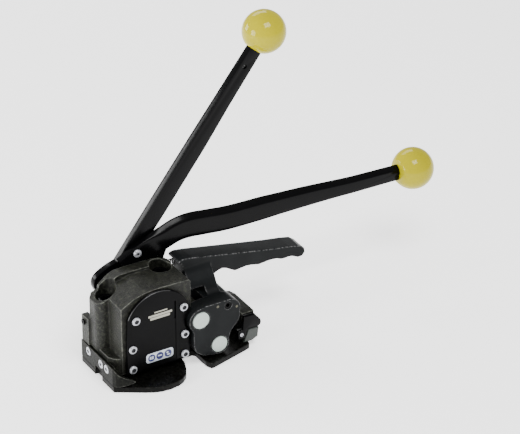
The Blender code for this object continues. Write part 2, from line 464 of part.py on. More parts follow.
cut(rat, cyl("c", C2, 6.3, "Y", 20, 40, TOOL, 18))
tube("wheel_circlip", C2, 9.0, 6.3, 31.5, 33.0, STEEL_BLACK, 16, o_c2)

tip = (C2[0] + 12.5 * cos(radians(150)), C2[1] + 12.5 * sin(radians(150)))
hp = prism("holding_pawl", arc(HOLD, 5.6, 40, 235, 8 * Q) + [(55.4, 27.4), tip, (tip[0] + 0.9, tip[1] + 2.2)], "Y", 26.9, 31.1, TOOL, (HOLD[0], 0, HOLD[1]))
cut(hp, cyl("c", HOLD, 3.3, "Y", 20, 40, TOOL, 14))

# ---------------------------------------------------------------- tension side frame and strap guide
fr = prism("tension_frame", [(-30, 6.6), (25.6, 6.6), (25.6, 31.5), (18, 35.5), (8, 37.8), (-29.2, 37.8), (-30, 37.2)], "X", 106, 120, CAST)
join(fr, prism("c", [(90, 6.8), (108, 6.8), (108, 33.2), (100, 32.6), (94, 29.5), (90, 24)], "Y", 19.2, 25.4, CAST))
cut(fr, block("c", (80, 130), (-40, -3.0), (0, CHANNEL_TOP), CAST))
guide = prism("strap_guide_right", [(104.5, 6.6), (114.5, 6.6), (121.0, 9.6), (122.4, 20.6), (110.4, 20.8), (109.2, 17.6)], "Y", -36.4, -30.3, GUIDE)
cap_screw("strap_guide_screw", (101.9, -36.2, 17.2), (0, -1, 0), 2.1, 1.0, 1.25, 4.6, ZINC)
cap = prism("guide_cap", [(98.4, 11.2), (105.9, 11.2), (108.8, 18.0), (110.1, 21.2), (122.8, 21.0), (124.6, 22.4), (125.5, 25.4), (124.8, 28.4), (122.4, 31.6), (119.8, 34.2), (118.4, 36.4), (105.2, 36.9), (104.0, 22.0), (98.4, 21.6)], "Y", -35.9, -30.3, STEEL_BLACK)
cut(cap, cyl("c", (101.9, 17.2), 1.6, "Y", -40, -20, STEEL_BLACK, 12))

# ---------------------------------------------------------------- return spring between the housing and the grip
def coil(name, p0, p1, r, wire, turns, mat, per=10, sides=6):
    bm = bmesh.new()
    rows = []
    total = int(turns * per * Q)
    for i in range(total + 1):
        t = i / total
        a = 2 * pi * turns * t
        x = p0[0] + wire + (p1[0] - p0[0] - 2 * wire) * t
        c = Vector((x, p0[1] + r * cos(a), p0[2] + r * sin(a)))
        rad = Vector((0, cos(a), sin(a)))
        row = []
        for k in range(sides):
            b = 2 * pi * k / sides
            row.append(bm.verts.new((c + rad * wire * cos(b) + Vector((1, 0, 0)) * wire * sin(b)) * MM))
        rows.append(row)
    for r0, r1 in zip(rows, rows[1:]):
        for k in range(sides):
            j = (k + 1) % sides
            bm.faces.new((r0[k], r0[j], r1[j], r1[k]))
    bm.faces.new(rows[0])
    bm.faces.new(rows[-1])
    return finish(name, bm, mat)
coil("rocker_return_spring", (46.2, 11.5, 94.8), (52.5, 11.5, 94.8), 3.6, 0.75, 2.25, SPRING)
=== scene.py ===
import bpy, bmesh
from math import sin, cos, pi, radians, atan2, hypot, sqrt
from mathutils import Vector, Matrix, noise
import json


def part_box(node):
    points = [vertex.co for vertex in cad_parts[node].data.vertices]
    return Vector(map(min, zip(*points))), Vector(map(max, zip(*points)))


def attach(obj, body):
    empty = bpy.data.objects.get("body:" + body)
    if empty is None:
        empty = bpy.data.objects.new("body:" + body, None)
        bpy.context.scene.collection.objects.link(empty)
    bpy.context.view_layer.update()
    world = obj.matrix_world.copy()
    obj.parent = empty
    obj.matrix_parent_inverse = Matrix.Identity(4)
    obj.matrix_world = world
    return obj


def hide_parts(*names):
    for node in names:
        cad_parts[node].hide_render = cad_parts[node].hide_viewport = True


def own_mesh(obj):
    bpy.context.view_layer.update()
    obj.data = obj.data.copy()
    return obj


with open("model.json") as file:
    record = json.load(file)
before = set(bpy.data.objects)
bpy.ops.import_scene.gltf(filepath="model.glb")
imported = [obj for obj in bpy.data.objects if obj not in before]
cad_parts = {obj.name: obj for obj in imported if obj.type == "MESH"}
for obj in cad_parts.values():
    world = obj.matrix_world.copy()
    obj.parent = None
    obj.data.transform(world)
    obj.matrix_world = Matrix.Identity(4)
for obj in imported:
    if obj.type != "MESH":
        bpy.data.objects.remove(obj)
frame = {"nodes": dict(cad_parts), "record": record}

V = {}          # detailed piece for each node, by node name
EXTRA = []      # (piece, body, slot) for trim that stands for no node

MM = 0.001

# ---------------------------------------------------------------- dimensions
Q = 3                               # roundness factor of the facets
GAP = 0.3                           # gap left between touching pieces
BASE_T = 6.3                        # base plate thickness
CHANNEL_TOP = 10.8                  # roof of the strap channel
S1 = (6.5, 61.5)                    # sealing shaft axis, X Z
C1 = (52.0, 53.2)                   # rocker pivot axis
C2 = (73.0, 18.5)                   # feed wheel axis
PAWL = (70.0, 42.0)                 # drive pawl pivot
HOLD = (54.5, 34.0)                 # holding pawl pivot
KNOB_R = 22.5
KNOB1 = (168.5, 31.1, 315.5)        # sealing lever knob centre
KNOB2 = (345.8, 23.1, 112.7)        # tension lever knob centre
LEVER1_ANGLE = 51.8                 # slope of the sealing lever
ECC = 5.0                           # throw of the eccentric
ECC_PHASE = 127.5                   # direction of the throw at rest
ECC_R = 10.0
HOUSING_FRONT, HOUSING_BACK = -32.0, 19.0
COVER_FRONT = -36.3
ROCKER_FRONT, ROCKER_BLOCK_BACK = -42.0, -25.0
GRIP_FRONT, GRIP_BACK = -4.0, 18.0
TL_Y = (19.6, 26.6)                 # tension lever thickness span
SL_Y = (27.2, 35.0)                 # sealing lever thickness span

COVER_SCREWS = [(-19.4, 72.6), (-23.7, 40.6), (-23.9, 17.0), (34.8, 72.4), (35.7, 40.5), (35.4, 17.0)]
END_SCREWS = [(13.8, 18.9), (-12.4, 17.9), (-24.2, 18.5)]

# ---------------------------------------------------------------- materials
def nodes_of(name):
    m = bpy.data.materials.new(name)
    m.use_nodes = True
    nt = m.node_tree
    return m, nt, nt.nodes["Principled BSDF"]

def noise_tex(nt, scale, detail=6.0, rough=0.6, coord="Object"):
    tc = nt.nodes.new("ShaderNodeTexCoord")
    n = nt.nodes.new("ShaderNodeTexNoise")
    n.inputs["Scale"].default_value = scale
    n.inputs["Detail"].default_value = detail
    n.inputs["Roughness"].default_value = rough
    nt.links.new(tc.outputs[coord], n.inputs["Vector"])
    return n

def ramp(nt, src, stops):
    r = nt.nodes.new("ShaderNodeValToRGB")
    while len(r.color_ramp.elements) < len(stops):
        r.color_ramp.elements.new(0.5)
    for e, (p, c) in zip(r.color_ramp.elements, stops):
        e.position = p
        e.color = c if len(c) == 4 else (*c, 1.0)
    nt.links.new(src, r.inputs["Fac"])
    return r

def g(v): return (v, v, v, 1.0)

def bump_of(nt, b, heights, strength=1.0):
    # heights: list of (socket, distance in metres)
    last = None
    for sock, dist in heights:
        bp = nt.nodes.new("ShaderNodeBump")
        bp.inputs["Strength"].default_value = strength
        bp.inputs["Distance"].default_value = dist
        nt.links.new(sock, bp.inputs["Height"])
        if last is not None:
            nt.links.new(last.outputs["Normal"], bp.inputs["Normal"])
        last = bp
    nt.links.new(last.outputs["Normal"], b.inputs["Normal"])

def edge_wear(nt, lo, hi):
    geo = nt.nodes.new("ShaderNodeNewGeometry")
    return ramp(nt, geo.outputs["Pointiness"], [(lo, g(0)), (hi, g(1))])

def mix(nt, fac, a, b):
    m = nt.nodes.new("ShaderNodeMix")
    m.data_type = "RGBA"
    if hasattr(fac, "links") or hasattr(fac, "is_linked"):
        nt.links.new(fac, m.inputs[0])
    else:
        m.inputs[0].default_value = fac
    for sock, v in ((m.inputs[6], a), (m.inputs[7], b)):
        if isinstance(v, tuple):
            sock.default_value = v if len(v) == 4 else (*v, 1.0)
        else:
            nt.links.new(v, sock)
    return m.outputs[2]

def cast_material(name, dark, light, wear, rough=(0.42, 0.68), metal=0.35, grain=0.00022, wear_lo=0.53, wear_hi=0.60, spec=0.5):
    # sand-cast and blackened: mottled colour, grainy bump, rubbed edges
    m, nt, b = nodes_of(name)
    big = noise_tex(nt, 55, 5, 0.6)
    fine = noise_tex(nt, 900, 3, 0.6)
    mid = noise_tex(nt, 300, 6, 0.75)
    base = ramp(nt, big.outputs["Fac"], [(0.32, dark), (0.68, light)])
    speck = ramp(nt, mid.outputs["Fac"], [(0.50, g(0)), (0.68, g(0.85))])
    c = mix(nt, speck.outputs["Color"], base.outputs["Color"], tuple(min(1, x * 5.0) for x in light))
    ew = edge_wear(nt, wear_lo, wear_hi)
    wn = ramp(nt, mid.outputs["Fac"], [(0.35, g(0)), (0.6, g(1))])
    wm = nt.nodes.new("ShaderNodeMath"); wm.operation = "MULTIPLY"
    nt.links.new(ew.outputs["Color"], wm.inputs[0]); nt.links.new(wn.outputs["Color"], wm.inputs[1])
    c = mix(nt, wm.outputs[0], c, wear)
    nt.links.new(c, b.inputs["Base Color"])
    rr = ramp(nt, mid.outputs["Fac"], [(0.3, g(rough[0])), (0.75, g(rough[1]))])
    nt.links.new(rr.outputs["Color"], b.inputs["Roughness"])
    b.inputs["Metallic"].default_value = metal
    b.inputs["Specular IOR Level"].default_value = spec
    bump_of(nt, b, [(mid.outputs["Fac"], grain * 1.6), (fine.outputs["Fac"], grain)], 0.8)
    return m

def paint_material(name, colour, rough, scale=420, grain=0.00004, coat=0.0, metal=0.0, wear=None, var=0.35, spec=0.5, wlo=0.54, whi=0.62):
    m, nt, b = nodes_of(name)
    n1 = noise_tex(nt, scale, 5, 0.6)
    n2 = noise_tex(nt, 35, 4, 0.5)
    c = ramp(nt, n2.outputs["Fac"], [(0.3, tuple(x * (1 - var) for x in colour)), (0.7, tuple(x * (1 + var) for x in colour))]).outputs["Color"]
    if wear is not None:
        ew = edge_wear(nt, wlo, whi)
        wn = ramp(nt, n1.outputs["Fac"], [(0.42, g(0)), (0.62, g(0.8))])
        wm = nt.nodes.new("ShaderNodeMath"); wm.operation = "MULTIPLY"
        nt.links.new(ew.outputs["Color"], wm.inputs[0]); nt.links.new(wn.outputs["Color"], wm.inputs[1])
        c = mix(nt, wm.outputs[0], c, wear)
    nt.links.new(c, b.inputs["Base Color"])
    rr = ramp(nt, n1.outputs["Fac"], [(0.3, g(rough * 0.82)), (0.7, g(min(1, rough * 1.2)))])
    nt.links.new(rr.outputs["Color"], b.inputs["Roughness"])
    b.inputs["Metallic"].default_value = metal
    b.inputs["Coat Weight"].default_value = coat
    b.inputs["Coat Roughness"].default_value = 0.06
    b.inputs["Specular IOR Level"].default_value = spec
    bump_of(nt, b, [(n1.outputs["Fac"], grain)], 0.6)
    return m

def metal_material(name, colour, rough, stretch=(1, 1, 1), grain=0.00002, metal=1.0, scale=300, var=0.12):
    m, nt, b = nodes_of(name)
    tc = nt.nodes.new("ShaderNodeTexCoord")
    mp = nt.nodes.new("ShaderNodeMapping")
    mp.inputs["Scale"].default_value = stretch
    n = nt.nodes.new("ShaderNodeTexNoise")
    n.inputs["Scale"].default_value = scale
    n.inputs["Detail"].default_value = 5
    nt.links.new(tc.outputs["Object"], mp.inputs["Vector"])
    nt.links.new(mp.outputs["Vector"], n.inputs["Vector"])
    c = ramp(nt, n.outputs["Fac"], [(0.3, tuple(x * (1 - var) for x in colour)), (0.7, tuple(min(1, x * (1 + var)) for x in colour))])
    nt.links.new(c.outputs["Color"], b.inputs["Base Color"])
    rr = ramp(nt, n.outputs["Fac"], [(0.3, g(rough * 0.8)), (0.7, g(rough * 1.25))])
    nt.links.new(rr.outputs["Color"], b.inputs["Roughness"])
    b.inputs["Metallic"].default_value = metal
    bump_of(nt, b, [(n.outputs["Fac"], grain)], 0.5)
    return m

CAST = cast_material("dark_casting", (0.0016, 0.0017, 0.0012), (0.0085, 0.0090, 0.0066), (0.19, 0.195, 0.17), rough=(0.26, 0.60), metal=0.0, grain=0.00060, spec=0.19, wear_lo=0.513, wear_hi=0.57)
FRAMEM = cast_material("frame_casting", (0.0010, 0.0011, 0.0007), (0.0050, 0.0055, 0.0034), (0.40, 0.41, 0.36), rough=(0.38, 0.62), metal=0.0, grain=0.00036, spec=0.12, wear_lo=0.515, wear_hi=0.58)
PLATEM = cast_material("plate_casting", (0.0010, 0.0011, 0.0008), (0.0034, 0.0037, 0.0028), (0.22, 0.225, 0.20), rough=(0.30, 0.55), metal=0.0, grain=0.00020, spec=0.065, wear_lo=0.52, wear_hi=0.59)
BASEM = cast_material("dark_base", (0.0005, 0.0005, 0.0004), (0.0018, 0.0018, 0.0015), (0.05, 0.05, 0.045), rough=(0.22, 0.42), metal=0.0, grain=0.00008, spec=0.07)
STEEL_BLACK = paint_material("black_steel", (0.0008, 0.0008, 0.0010), 0.20, 240, 0.00003, coat=0.0, spec=0.08)
COVER = paint_material("black_cover", (0.0009, 0.0009, 0.0011), 0.34, 700, 0.00005, metal=0.0, spec=0.06)
# lighter grey for the cover's arc edge: a painted highlight
RIM_HIGHLIGHT = paint_material("cover_rim_painted_highlight", (0.016, 0.016, 0.017), 0.30, 700, 0.00002, spec=0.5)
ROCKER = paint_material("dark_rocker", (0.0062, 0.0070, 0.0074), 0.36, 500, 0.00006, wear=(0.26, 0.26, 0.26), spec=0.07, wlo=0.512, whi=0.56)
GRIPM = ROCKER
YELLOW = paint_material("yellow_knob", (0.33, 0.286, 0.0), 0.07, 60, 0.000002, coat=0.0, var=0.01, spec=0.19)
ZINC = metal_material("bright_screw", (0.42, 0.43, 0.46), 0.26, metal=0.55)
# near-black for the screw sockets: painted shade in the recess
SOCKET_SHADE = paint_material("screw_socket_painted_shade", (0.016, 0.016, 0.019), 0.35, 300, 0.00001, var=0.1, spec=0.15, metal=0.0)
PIN = metal_material("ground_pin", (0.42, 0.49, 0.45), 0.50, metal=0.0, scale=500, var=0.08, grain=0.00004)
TOOL = metal_material("tool_steel", (0.30, 0.30, 0.30), 0.32)
BRONZE = metal_material("bronze", (0.55, 0.36, 0.14), 0.30)
BRASSY = metal_material("worn_spot", (0.05, 0.046, 0.022), 0.45, metal=0.0)
GUIDE = metal_material("bare_guide", (0.0135, 0.019, 0.015), 0.42, metal=0.0, scale=350, var=0.25, grain=0.00006)
SPRING = metal_material("spring_wire", (0.085, 0.085, 0.085), 0.22)
LABEL = paint_material("label_white", (0.50, 0.54, 0.60), 0.35, 200, 0.000004, var=0.02)
PALE = paint_material("label_pale", (0.34, 0.33, 0.27), 0.45, 900, 0.00001, var=0.10)
BLUE = paint_material("label_blue", (0.008, 0.010, 0.085), 0.4, 200, 0.000004, var=0.05)

# the tension lever is a flat plate at its root and has a rounded front shoulder along its arm
FLAT = [(1, -0.9), (1, 0.9), (0.93, 0.96), (0.8, 1.0), (0.5, 1.0), (0, 1.0), (-0.4, 1.0), (-0.75, 1.0), (-0.93, 0.96), (-1, 0.88), (-1, 0.6), (-1, 0.2), (-1, -0.5), (-1, -0.88), (-0.93, -0.95), (-0.75, -1.0), (0, -1.0), (0.8, -1.0), (0.96, -0.95)]
SHOULDER = [(1, -0.85), (1, 0.86), (0.93, 0.96), (0.8, 1.0), (0.62, 0.985), (0.3, 0.92), (0.0, 0.84), (-0.35, 0.745), (-0.65, 0.655), (-0.85, 0.575), (-0.96, 0.48), (-1, 0.34), (-1, -0.6), (-1, -0.86), (-0.93, -0.95), (-0.75, -1.0), (0, -1.0), (0.8, -1.0), (0.96, -0.94)]
def shoulder_sweep(name, path, halfs, y, mat):
    bm = bmesh.new()
    yc, hy = (y[0] + y[1]) / 2, (y[1] - y[0]) / 2
    rows = []
    for i, (x, z) in enumerate(path):
        x0, z0 = path[max(i - 1, 0)]
        x1, z1 = path[min(i + 1, len(path) - 1)]
        t = Vector((x1 - x0, z1 - z0)).normalized()
        nrm = Vector((-t.y, t.x))
        w = max(0.0, min(1.0, (x - 24.0) / 26.0))
        w = w * w * (3 - 2 * w)
        row = []
        for (ya, ha), (yb, hb) in zip(FLAT, SHOULDER):
            hh = (ha + (hb - ha) * w) * halfs[i]
            row.append(bm.verts.new(Vector((x + nrm.x * hh, yc + (ya + (yb - ya) * w) * hy, z + nrm.y * hh)) * MM))
        rows.append(row)
    for r0, r1 in zip(rows, rows[1:]):
        for k in range(len(r0)):
            j = (k + 1) % len(r0)
            bm.faces.new((r0[k], r0[j], r1[j], r1[k]))
    bm.faces.new(rows[0])
    bm.faces.new(rows[-1])
    return finish(name, bm, mat)

# ---------------------------------------------------------------- shape tools
def finish(name, bm, mat, origin=None):
    bmesh.ops.recalc_face_normals(bm, faces=bm.faces)
    me = bpy.data.meshes.new(name)
    bm.to_mesh(me)
    bm.free()
    ob = bpy.data.objects.new("v_" + name, me)
    bpy.context.scene.collection.objects.link(ob)
    if name not in ("c", "k"):
        V[name] = ob
    me.materials.append(mat)
    me.shade_smooth()
    me.set_sharp_from_angle(angle=radians(32))
    return ob

def place(axis, a, b, h):
    # a, b: the two coordinates across the axis, h: the coordinate along it
    if axis == "X": return (h, a, b)
    if axis == "Y": return (a, h, b)
    return (a, b, h)

def prism_bm(pts, axis, lo, hi):
    bm = bmesh.new()
    low = [bm.verts.new(Vector(place(axis, a, b, lo)) * MM) for a, b in pts]
    top = [bm.verts.new(Vector(place(axis, a, b, hi)) * MM) for a, b in pts]
    bm.faces.new(low)
    bm.faces.new(top)
    n = len(pts)
    for i in range(n):
        bm.faces.new((low[i], low[(i + 1) % n], top[(i + 1) % n], top[i]))
    return bm

def prism(name, pts, axis, lo, hi, mat, origin=None):
    return finish(name, prism_bm(pts, axis, lo, hi), mat, origin)

def block(name, x, y, z, mat, origin=None):
    return prism(name, [(x[0], y[0]), (x[1], y[0]), (x[1], y[1]), (x[0], y[1])], "Z", z[0], z[1], mat, origin)

def ring_pts(c, r, n):
    return [(c[0] + r * cos(2 * pi * i / n), c[1] + r * sin(2 * pi * i / n)) for i in range(n)]

def arc(c, r, a0, a1, n):
    return [(c[0] + r * cos(radians(a0 + (a1 - a0) * i / n)), c[1] + r * sin(radians(a0 + (a1 - a0) * i / n))) for i in range(n + 1)]

def cyl(name, c, r, axis, lo, hi, mat, n=20, origin=None):
    return prism(name, ring_pts(c, r, n * Q), axis, lo, hi, mat, origin)

def turned_bm(profile, base, direction, n):
    # profile: (height along the direction, radius) from one end to the other.
    # a radius of 0 closes on the axis; otherwise the profile is a closed loop
    d = Vector(direction).normalized()
    u = d.orthogonal().normalized()
    v = d.cross(u)
    bm = bmesh.new()
    rows = []
    for h, r in profile:
        c = Vector(base) + d * h
        if r < 1e-6:
            rows.append([bm.verts.new(c * MM)])
        else:
            rows.append([bm.verts.new((c + u * r * cos(2 * pi * i / n) + v * r * sin(2 * pi * i / n)) * MM) for i in range(n)])
    closed = profile[0][1] > 1e-6 and profile[-1][1] > 1e-6
    m = len(rows)
    for k in range(m if closed else m - 1):
        p, q = rows[k], rows[(k + 1) % m]
        for i in range(n):
            j = (i + 1) % n
            if len(p) == 1 and len(q) == 1:
                continue
            if len(p) == 1:
                bm.faces.new((p[0], q[i], q[j]))
            elif len(q) == 1:
                bm.faces.new((p[i], p[j], q[0]))
            else:
                bm.faces.new((p[i], p[j], q[j], q[i]))
    return bm

def turned(name, profile, base, direction, mat, n=20, origin=None):
    return finish(name, turned_bm(profile, base, direction, n * Q), mat, origin)

def tube(name, c, ro, ri, lo, hi, mat, n=20, origin=None):
    return turned(name, [(lo, ro), (hi, ro), (hi, ri), (lo, ri)], (c[0], 0, c[1]), (0, 1, 0), mat, n, origin)

def combine(ob, other, op):
    # joins, cuts or intersects ob with other, and removes other
    m = ob.modifiers.new("b", "BOOLEAN")
    m.operation = op
    m.solver = "EXACT"
    m.object = other
    bpy.context.view_layer.update()
    dg = bpy.context.evaluated_depsgraph_get()
    new = bpy.data.meshes.new_from_object(ob.evaluated_get(dg))
    ob.modifiers.clear()
    old = ob.data
    ob.data = new
    new.name = ob.name
    mats = [s for s in old.materials][:1]
    new.materials.clear()
    for s in mats:
        new.materials.append(s)
    for p in new.polygons:
        p.material_index = 0
    bpy.data.objects.remove(other, do_unlink=True)
    bpy.data.meshes.remove(old)
    new.shade_smooth()
    new.set_sharp_from_angle(angle=radians(32))
    return ob

def cut(ob, *others):
    for o in others: combine(ob, o, "DIFFERENCE")
    return ob

def join(ob, *others):
    for o in others: combine(ob, o, "UNION")
    return ob

def keep(ob, other):
    return combine(ob, other, "INTERSECT")

def capsule(c0, r0, c1, r1, n=8):
    # outline round two circles
    a = atan2(c1[1] - c0[1], c1[0] - c0[0]) * 180 / pi
    d = hypot(c1[0] - c0[0], c1[1] - c0[1])
    s = (r0 - r1) / d
    t = 90 - (0 if abs(s) < 1e-9 else atan2(s, sqrt(1 - s * s)) * 180 / pi)
    return arc(c0, r0, a + t, a + 360 - t, n * Q) + arc(c1, r1, a - t, a + t, n * Q)

def bar_sweep(name, path, halfs, y, mat, n=12, origin=None, power=3.0):
    # a bar of rounded section along an XZ path; halfs = half heights, y = (low, high)
    bm = bmesh.new()
    yc, hy = (y[0] + y[1]) / 2, (y[1] - y[0]) / 2
    rows = []
    for i, (x, z) in enumerate(path):
        x0, z0 = path[max(i - 1, 0)]
        x1, z1 = path[min(i + 1, len(path) - 1)]
        t = Vector((x1 - x0, z1 - z0)).normalized()
        nrm = Vector((-t.y, t.x))
        row = []
        for k in range(n):
            a = 2 * pi * (k + 0.5) / n
            ca, sa = cos(a), sin(a)
            f = (abs(ca) ** power + abs(sa) ** power) ** (-1 / power)
            yy = yc + max(-hy, min(hy, hy * ca * f * 1.03))
            hh = max(-1, min(1, sa * f * 1.03)) * halfs[i]
            row.append(bm.verts.new(Vector((x + nrm.x * hh, yy, z + nrm.y * hh)) * MM))
        rows.append(row)
    for r0, r1 in zip(rows, rows[1:]):
        for k in range(n):
            j = (k + 1) % n
            bm.faces.new((r0[k], r0[j], r1[j], r1[k]))
    bm.faces.new(rows[0])
    bm.faces.new(rows[-1])
    return finish(name, bm, mat, origin)

def catmull(pts, per):
    out = []
    for i in range(len(pts) - 1):
        p0, p1, p2, p3 = pts[max(i - 1, 0)], pts[i], pts[i + 1], pts[min(i + 2, len(pts) - 1)]
        for k in range(per):
            t = k / per
            out.append(tuple(0.5 * (2 * b + (c - a) * t + (2 * a - 5 * b + 4 * c - d) * t * t + (3 * b - a - 3 * c + d) * t ** 3)
                             for a, b, c, d in zip(p0, p1, p2, p3)))
    out.append(tuple(pts[-1]))
    return out

# ---------------------------------------------------------------- base
BASE_OUT = [(-48, 27.6), (-48, -1.3), (-45, -1.3), (-45, -15), (-48, -15), (-48, -40.4), (-21.5, -57.0),
            (-13, -61.6), (-6, -64.0), (5, -64.6), (14.4, -63.2), (21, -60), (26.5, -55.2), (30.6, -48.5), (33.5, -42), (35.6, -36), (36.3, -31), (36.3, -24),
            (38.3, -21.5), (52, -21.5), (54, -24), (54.3, -34), (54.6, -46), (57.4, -52.8), (62, -52.2), (104, -41.0), (109.6, -39.0), (110.4, -36.5), (110.4, -26), (122, -26), (122, 27.6)]
base = prism("base_plate", BASE_OUT, "Z", 0, BASE_T, CAST)
cut(base,
    block("c", (-22, 24), (-27, -5), (2.8, 9), CAST),
    block("c", (59, 87), (-24.3, -11.7), (2.8, 9), CAST),
    cyl("c", (-30.5, 5), 4.4, "Z", 1.5, 9, CAST),
    cyl("c", (31.5, 5), 4.4, "Z", 1.5, 9, CAST))

die = block("die_plate", (-21.7, 23.7), (-26.7, -5.3), (3.1, 6.2), TOOL)
for x in (-9.0, 7.0):
    cut(die, block("c", (x - 3.4, x + 3.4), (-22.4, -9.6), (2, 8), TOOL))
cut(die, block("c", (16.0, 18.8), (-24.4, -7.6), (2, 8), TOOL))

gripper = [(59.3, 3.1), (86.7, 3.1)]
n = 12
for i in range(n):
    x1 = 86.7 - (86.7 - 59.3) * i / n
    x0 = 86.7 - (86.7 - 59.3) * (i + 1) / n
    gripper += [(x1, 6.0), ((x0 + x1) / 2, 5.2)]
gripper += [(59.3, 6.0)]
prism("gripper_insert", gripper, "Y", -24.0, -12.0, TOOL)

block("strap_back_stop", (-40, 100), (-3.0, -0.6), (6.6, 10.4), TOOL)

# end guide plate: wall along the strap end, drawn out to a beak round the left foot
def loft(name, stations, mat):
    # stations: (outer XY, inner XY, low Z, high Z)
    bm = bmesh.new()
    rows = [[bm.verts.new(Vector((q[0], q[1], z)) * MM) for q, z in ((o, lo), (o, hi), (i, hi), (i, lo))] for o, i, lo, hi in stations]
    for r0, r1 in zip(rows, rows[1:]):
        for k in range(4):
            bm.faces.new((r0[k], r0[(k + 1) % 4], r1[(k + 1) % 4], r1[k]))
    bm.faces.new(rows[0])
    bm.faces.new(rows[-1])
    return finish(name, bm, mat)
plate = loft("end_guide_plate", [
    ((-48, 27.6), (-44.3, 27.6), 6.6, 26.0), ((-48, -38), (-44.3, -37), 6.6, 26.1),
    ((-46.6, -42.3), (-43.2, -39.5), 6.6, 23.8), ((-44.2, -45.5), (-41.3, -42.4), 7.6, 20.8), ((-40.5, -48.2), (-38.4, -45.2), 9.0, 18.9),
    ((-37, -50), (-35.6, -47.0), 9.8, 17.2), ((-32, -51.2), (-31.2, -48.6), 11.0, 14.8), ((-29.0, -51.2), (-29.0, -50.0), 11.8, 13.0)], CAST)
cut(plate, prism("c", [(-15.3, 5), (-1.0, 5), (-1.0, 10.6), (-15.3, 10.6)], "X", -60, -20, CAST))
for y, z in END_SCREWS:
    cut(plate, turned("c", [(-2, 0), (-2, 5.0), (1.9, 5.0), (1.9, 2.7), (10, 2.7), (10, 0)], (-48, y, z), (1, 0, 0), CAST, 16))

# ---------------------------------------------------------------- sealer housing
HOUSE = [(-33.3, 6.6), (46.0, 6.6), (46.0, 96.6), (44.2, 98.6), (30, 99.2), (10, 99.6), (-5, 98.8), (-18, 95.6), (-33.3, 87.2)]
house = prism("sealer_housing", HOUSE, "Y", HOUSING_FRONT, HOUSING_BACK, CAST)
colm = prism("c", [(-45.5, 12.5)] + arc((-36.5, 2.5), 9.0, 180, 262, 6 * Q) + [(-20, -6.4), (-20, 18.6), (-40.5, 18.6)], "Z", 6.8, 97, CAST)
keep(colm, prism("k", [(-60, 6.9), (-60, 76.5), (-45.5, 82.0), (-33.3, 87.0), (-18, 95.2), (-10, 96), (-10, 6.9)], "Y", -20, 30, CAST))
join(house, colm)
join(house, prism("c", [(-43.9, 18.2), (-43.9, -21), (-40.5, -27.5), (-36, -30.5), (-30, -31), (-30, 18.2)], "Z", 7.0, 30.0, CAST))
# lug for the pivot pin on the tension side, and back lug
join(house, prism("c", capsule((44.0, 53.2), 11.0, C1, 11.0), "Y", -24.4, 2.0, CAST))
join(house, block("c", (-47.4, -40), (12, 26.4), (27, 57), CAST))
# raised band along the rear of the top
join(house, prism("c", [(-33, 70), (45.8, 70), (45.8, 93.2), (43.0, 97.5), (38, 100.6), (30, 101.8), (10, 102.4), (-5, 102.6), (-16, 101.9), (-24, 97.8), (-33, 90.5)], "Y", 6.0, 18.9, CAST))
# seat for the return spring
join(house, block("c", (40, 45.8), (7.2, 15.8), (88, 98.6), CAST))
# seat for the end guide plate
cut(house, block("c", (-60, -44.0), (-60, 30), (0, 26.4), CAST))
# strap channel under the front half
cut(house, block("c", (-60, 70), (-50, 0), (-5, CHANNEL_TOP), CAST))
# working cavity, open to the front and to the channel
cut(house, prism("c", [(-14.5, -5), (20.5, -5), (20.5, 86), (-14.5, 86)], "Y", -50, -6, CAST))
# room for the inner end of the front bush boss
cut(house, cyl("c", S1, 13.6, "Y", -50, -24.9, CAST, 24))
# rocker relief
cut(house, block("c", (42.9, 60), (-50, -24.6), (-5, 60), CAST), cyl("c", C1, 15.0, "Y", -50, -24.55, CAST, 32))
# bores
cut(house, cyl("c", S1, 12.8, "Y", -10, 30, CAST, 28), cyl("c", C1, 6.3, "Y", -30, 12, CAST, 20))
for (x, z0) in ((-30.5, 72.0), (31.5, 84.0)):
    cut(house, cyl("c", (x, 5), 10.5 if x < 0 else 11.5, "Z", z0, 120, CAST, 24), cyl("c", (x, 5), 4.4, "Z", -5, z0 + 1, CAST, 16))
for x, z in COVER_SCREWS:
    cut(house, cyl("c", (x, z), 2.7, "Y", -40, -26.5, CAST, 12))
for y, z in END_SCREWS:
    cut(house, cyl("c", (y, z), 2.7, "X", -50, -37.5, CAST, 12))
cut(house, cyl("c", (21.5, 50.0), 2.4, "X", -50, -42.5, CAST, 12))

for i, (x, z0) in enumerate(((-30.5, 72.0), (31.5, 84.0))):
    turned("housing_bolt_" + ("left", "right")[i],
           [(0, 0), (0, 4.0), (z0 + GAP - 2.0, 4.0), (z0 + GAP - 2.0, 7.6), (z0 + 9.5 - 2.0, 7.6), (z0 + 9.5 - 2.0, 4.4), (z0 + 4.5 - 2.0, 4.4), (z0 + 4.5 - 2.0, 0)],
           (x, 5, 2.0), (0, 0, 1), STEEL_BLACK, 16)

# ---------------------------------------------------------------- front cover
right = 42.5
za = S1[1] + sqrt(37.0 ** 2 - (right - S1[0]) ** 2)
ang0 = atan2(za - S1[1], right - S1[0]) * 180 / pi
zl = S1[1] + sqrt(37.0 ** 2 - (S1[0] + 27.8) ** 2)
ang1 = atan2(zl - S1[1], -27.8 - S1[0]) * 180 / pi
dz = sqrt(15.2 ** 2 - (C1[0] - right) ** 2)
b0 = atan2(dz, right - C1[0]) * 180 / pi
cover_out = [(-30.3, 12.8), (-28.4, 10.9), (26, 10.9), (30, 12.4), (34, 10.9), (40.5, 10.9), (42.5, 12.5)] + arc(C1, 15.2, 360 - b0, b0, 8 * Q) + arc(S1, 37.0, ang0, ang1, 16 * Q)
cover = prism("front_cover", cover_out, "Y", COVER_FRONT, HOUSING_FRONT - GAP, COVER)
join(cover, cyl("c", S1, 13.2, "Y", -34, -26.0, COVER, 24))
cut(cover, cyl("c", S1, 10.3, "Y", -33.6, -20, COVER, 24))
for x, z in COVER_SCREWS:
    cut(cover, cyl("c", (x, z), 2.7, "Y", -40, -30, COVER, 12))
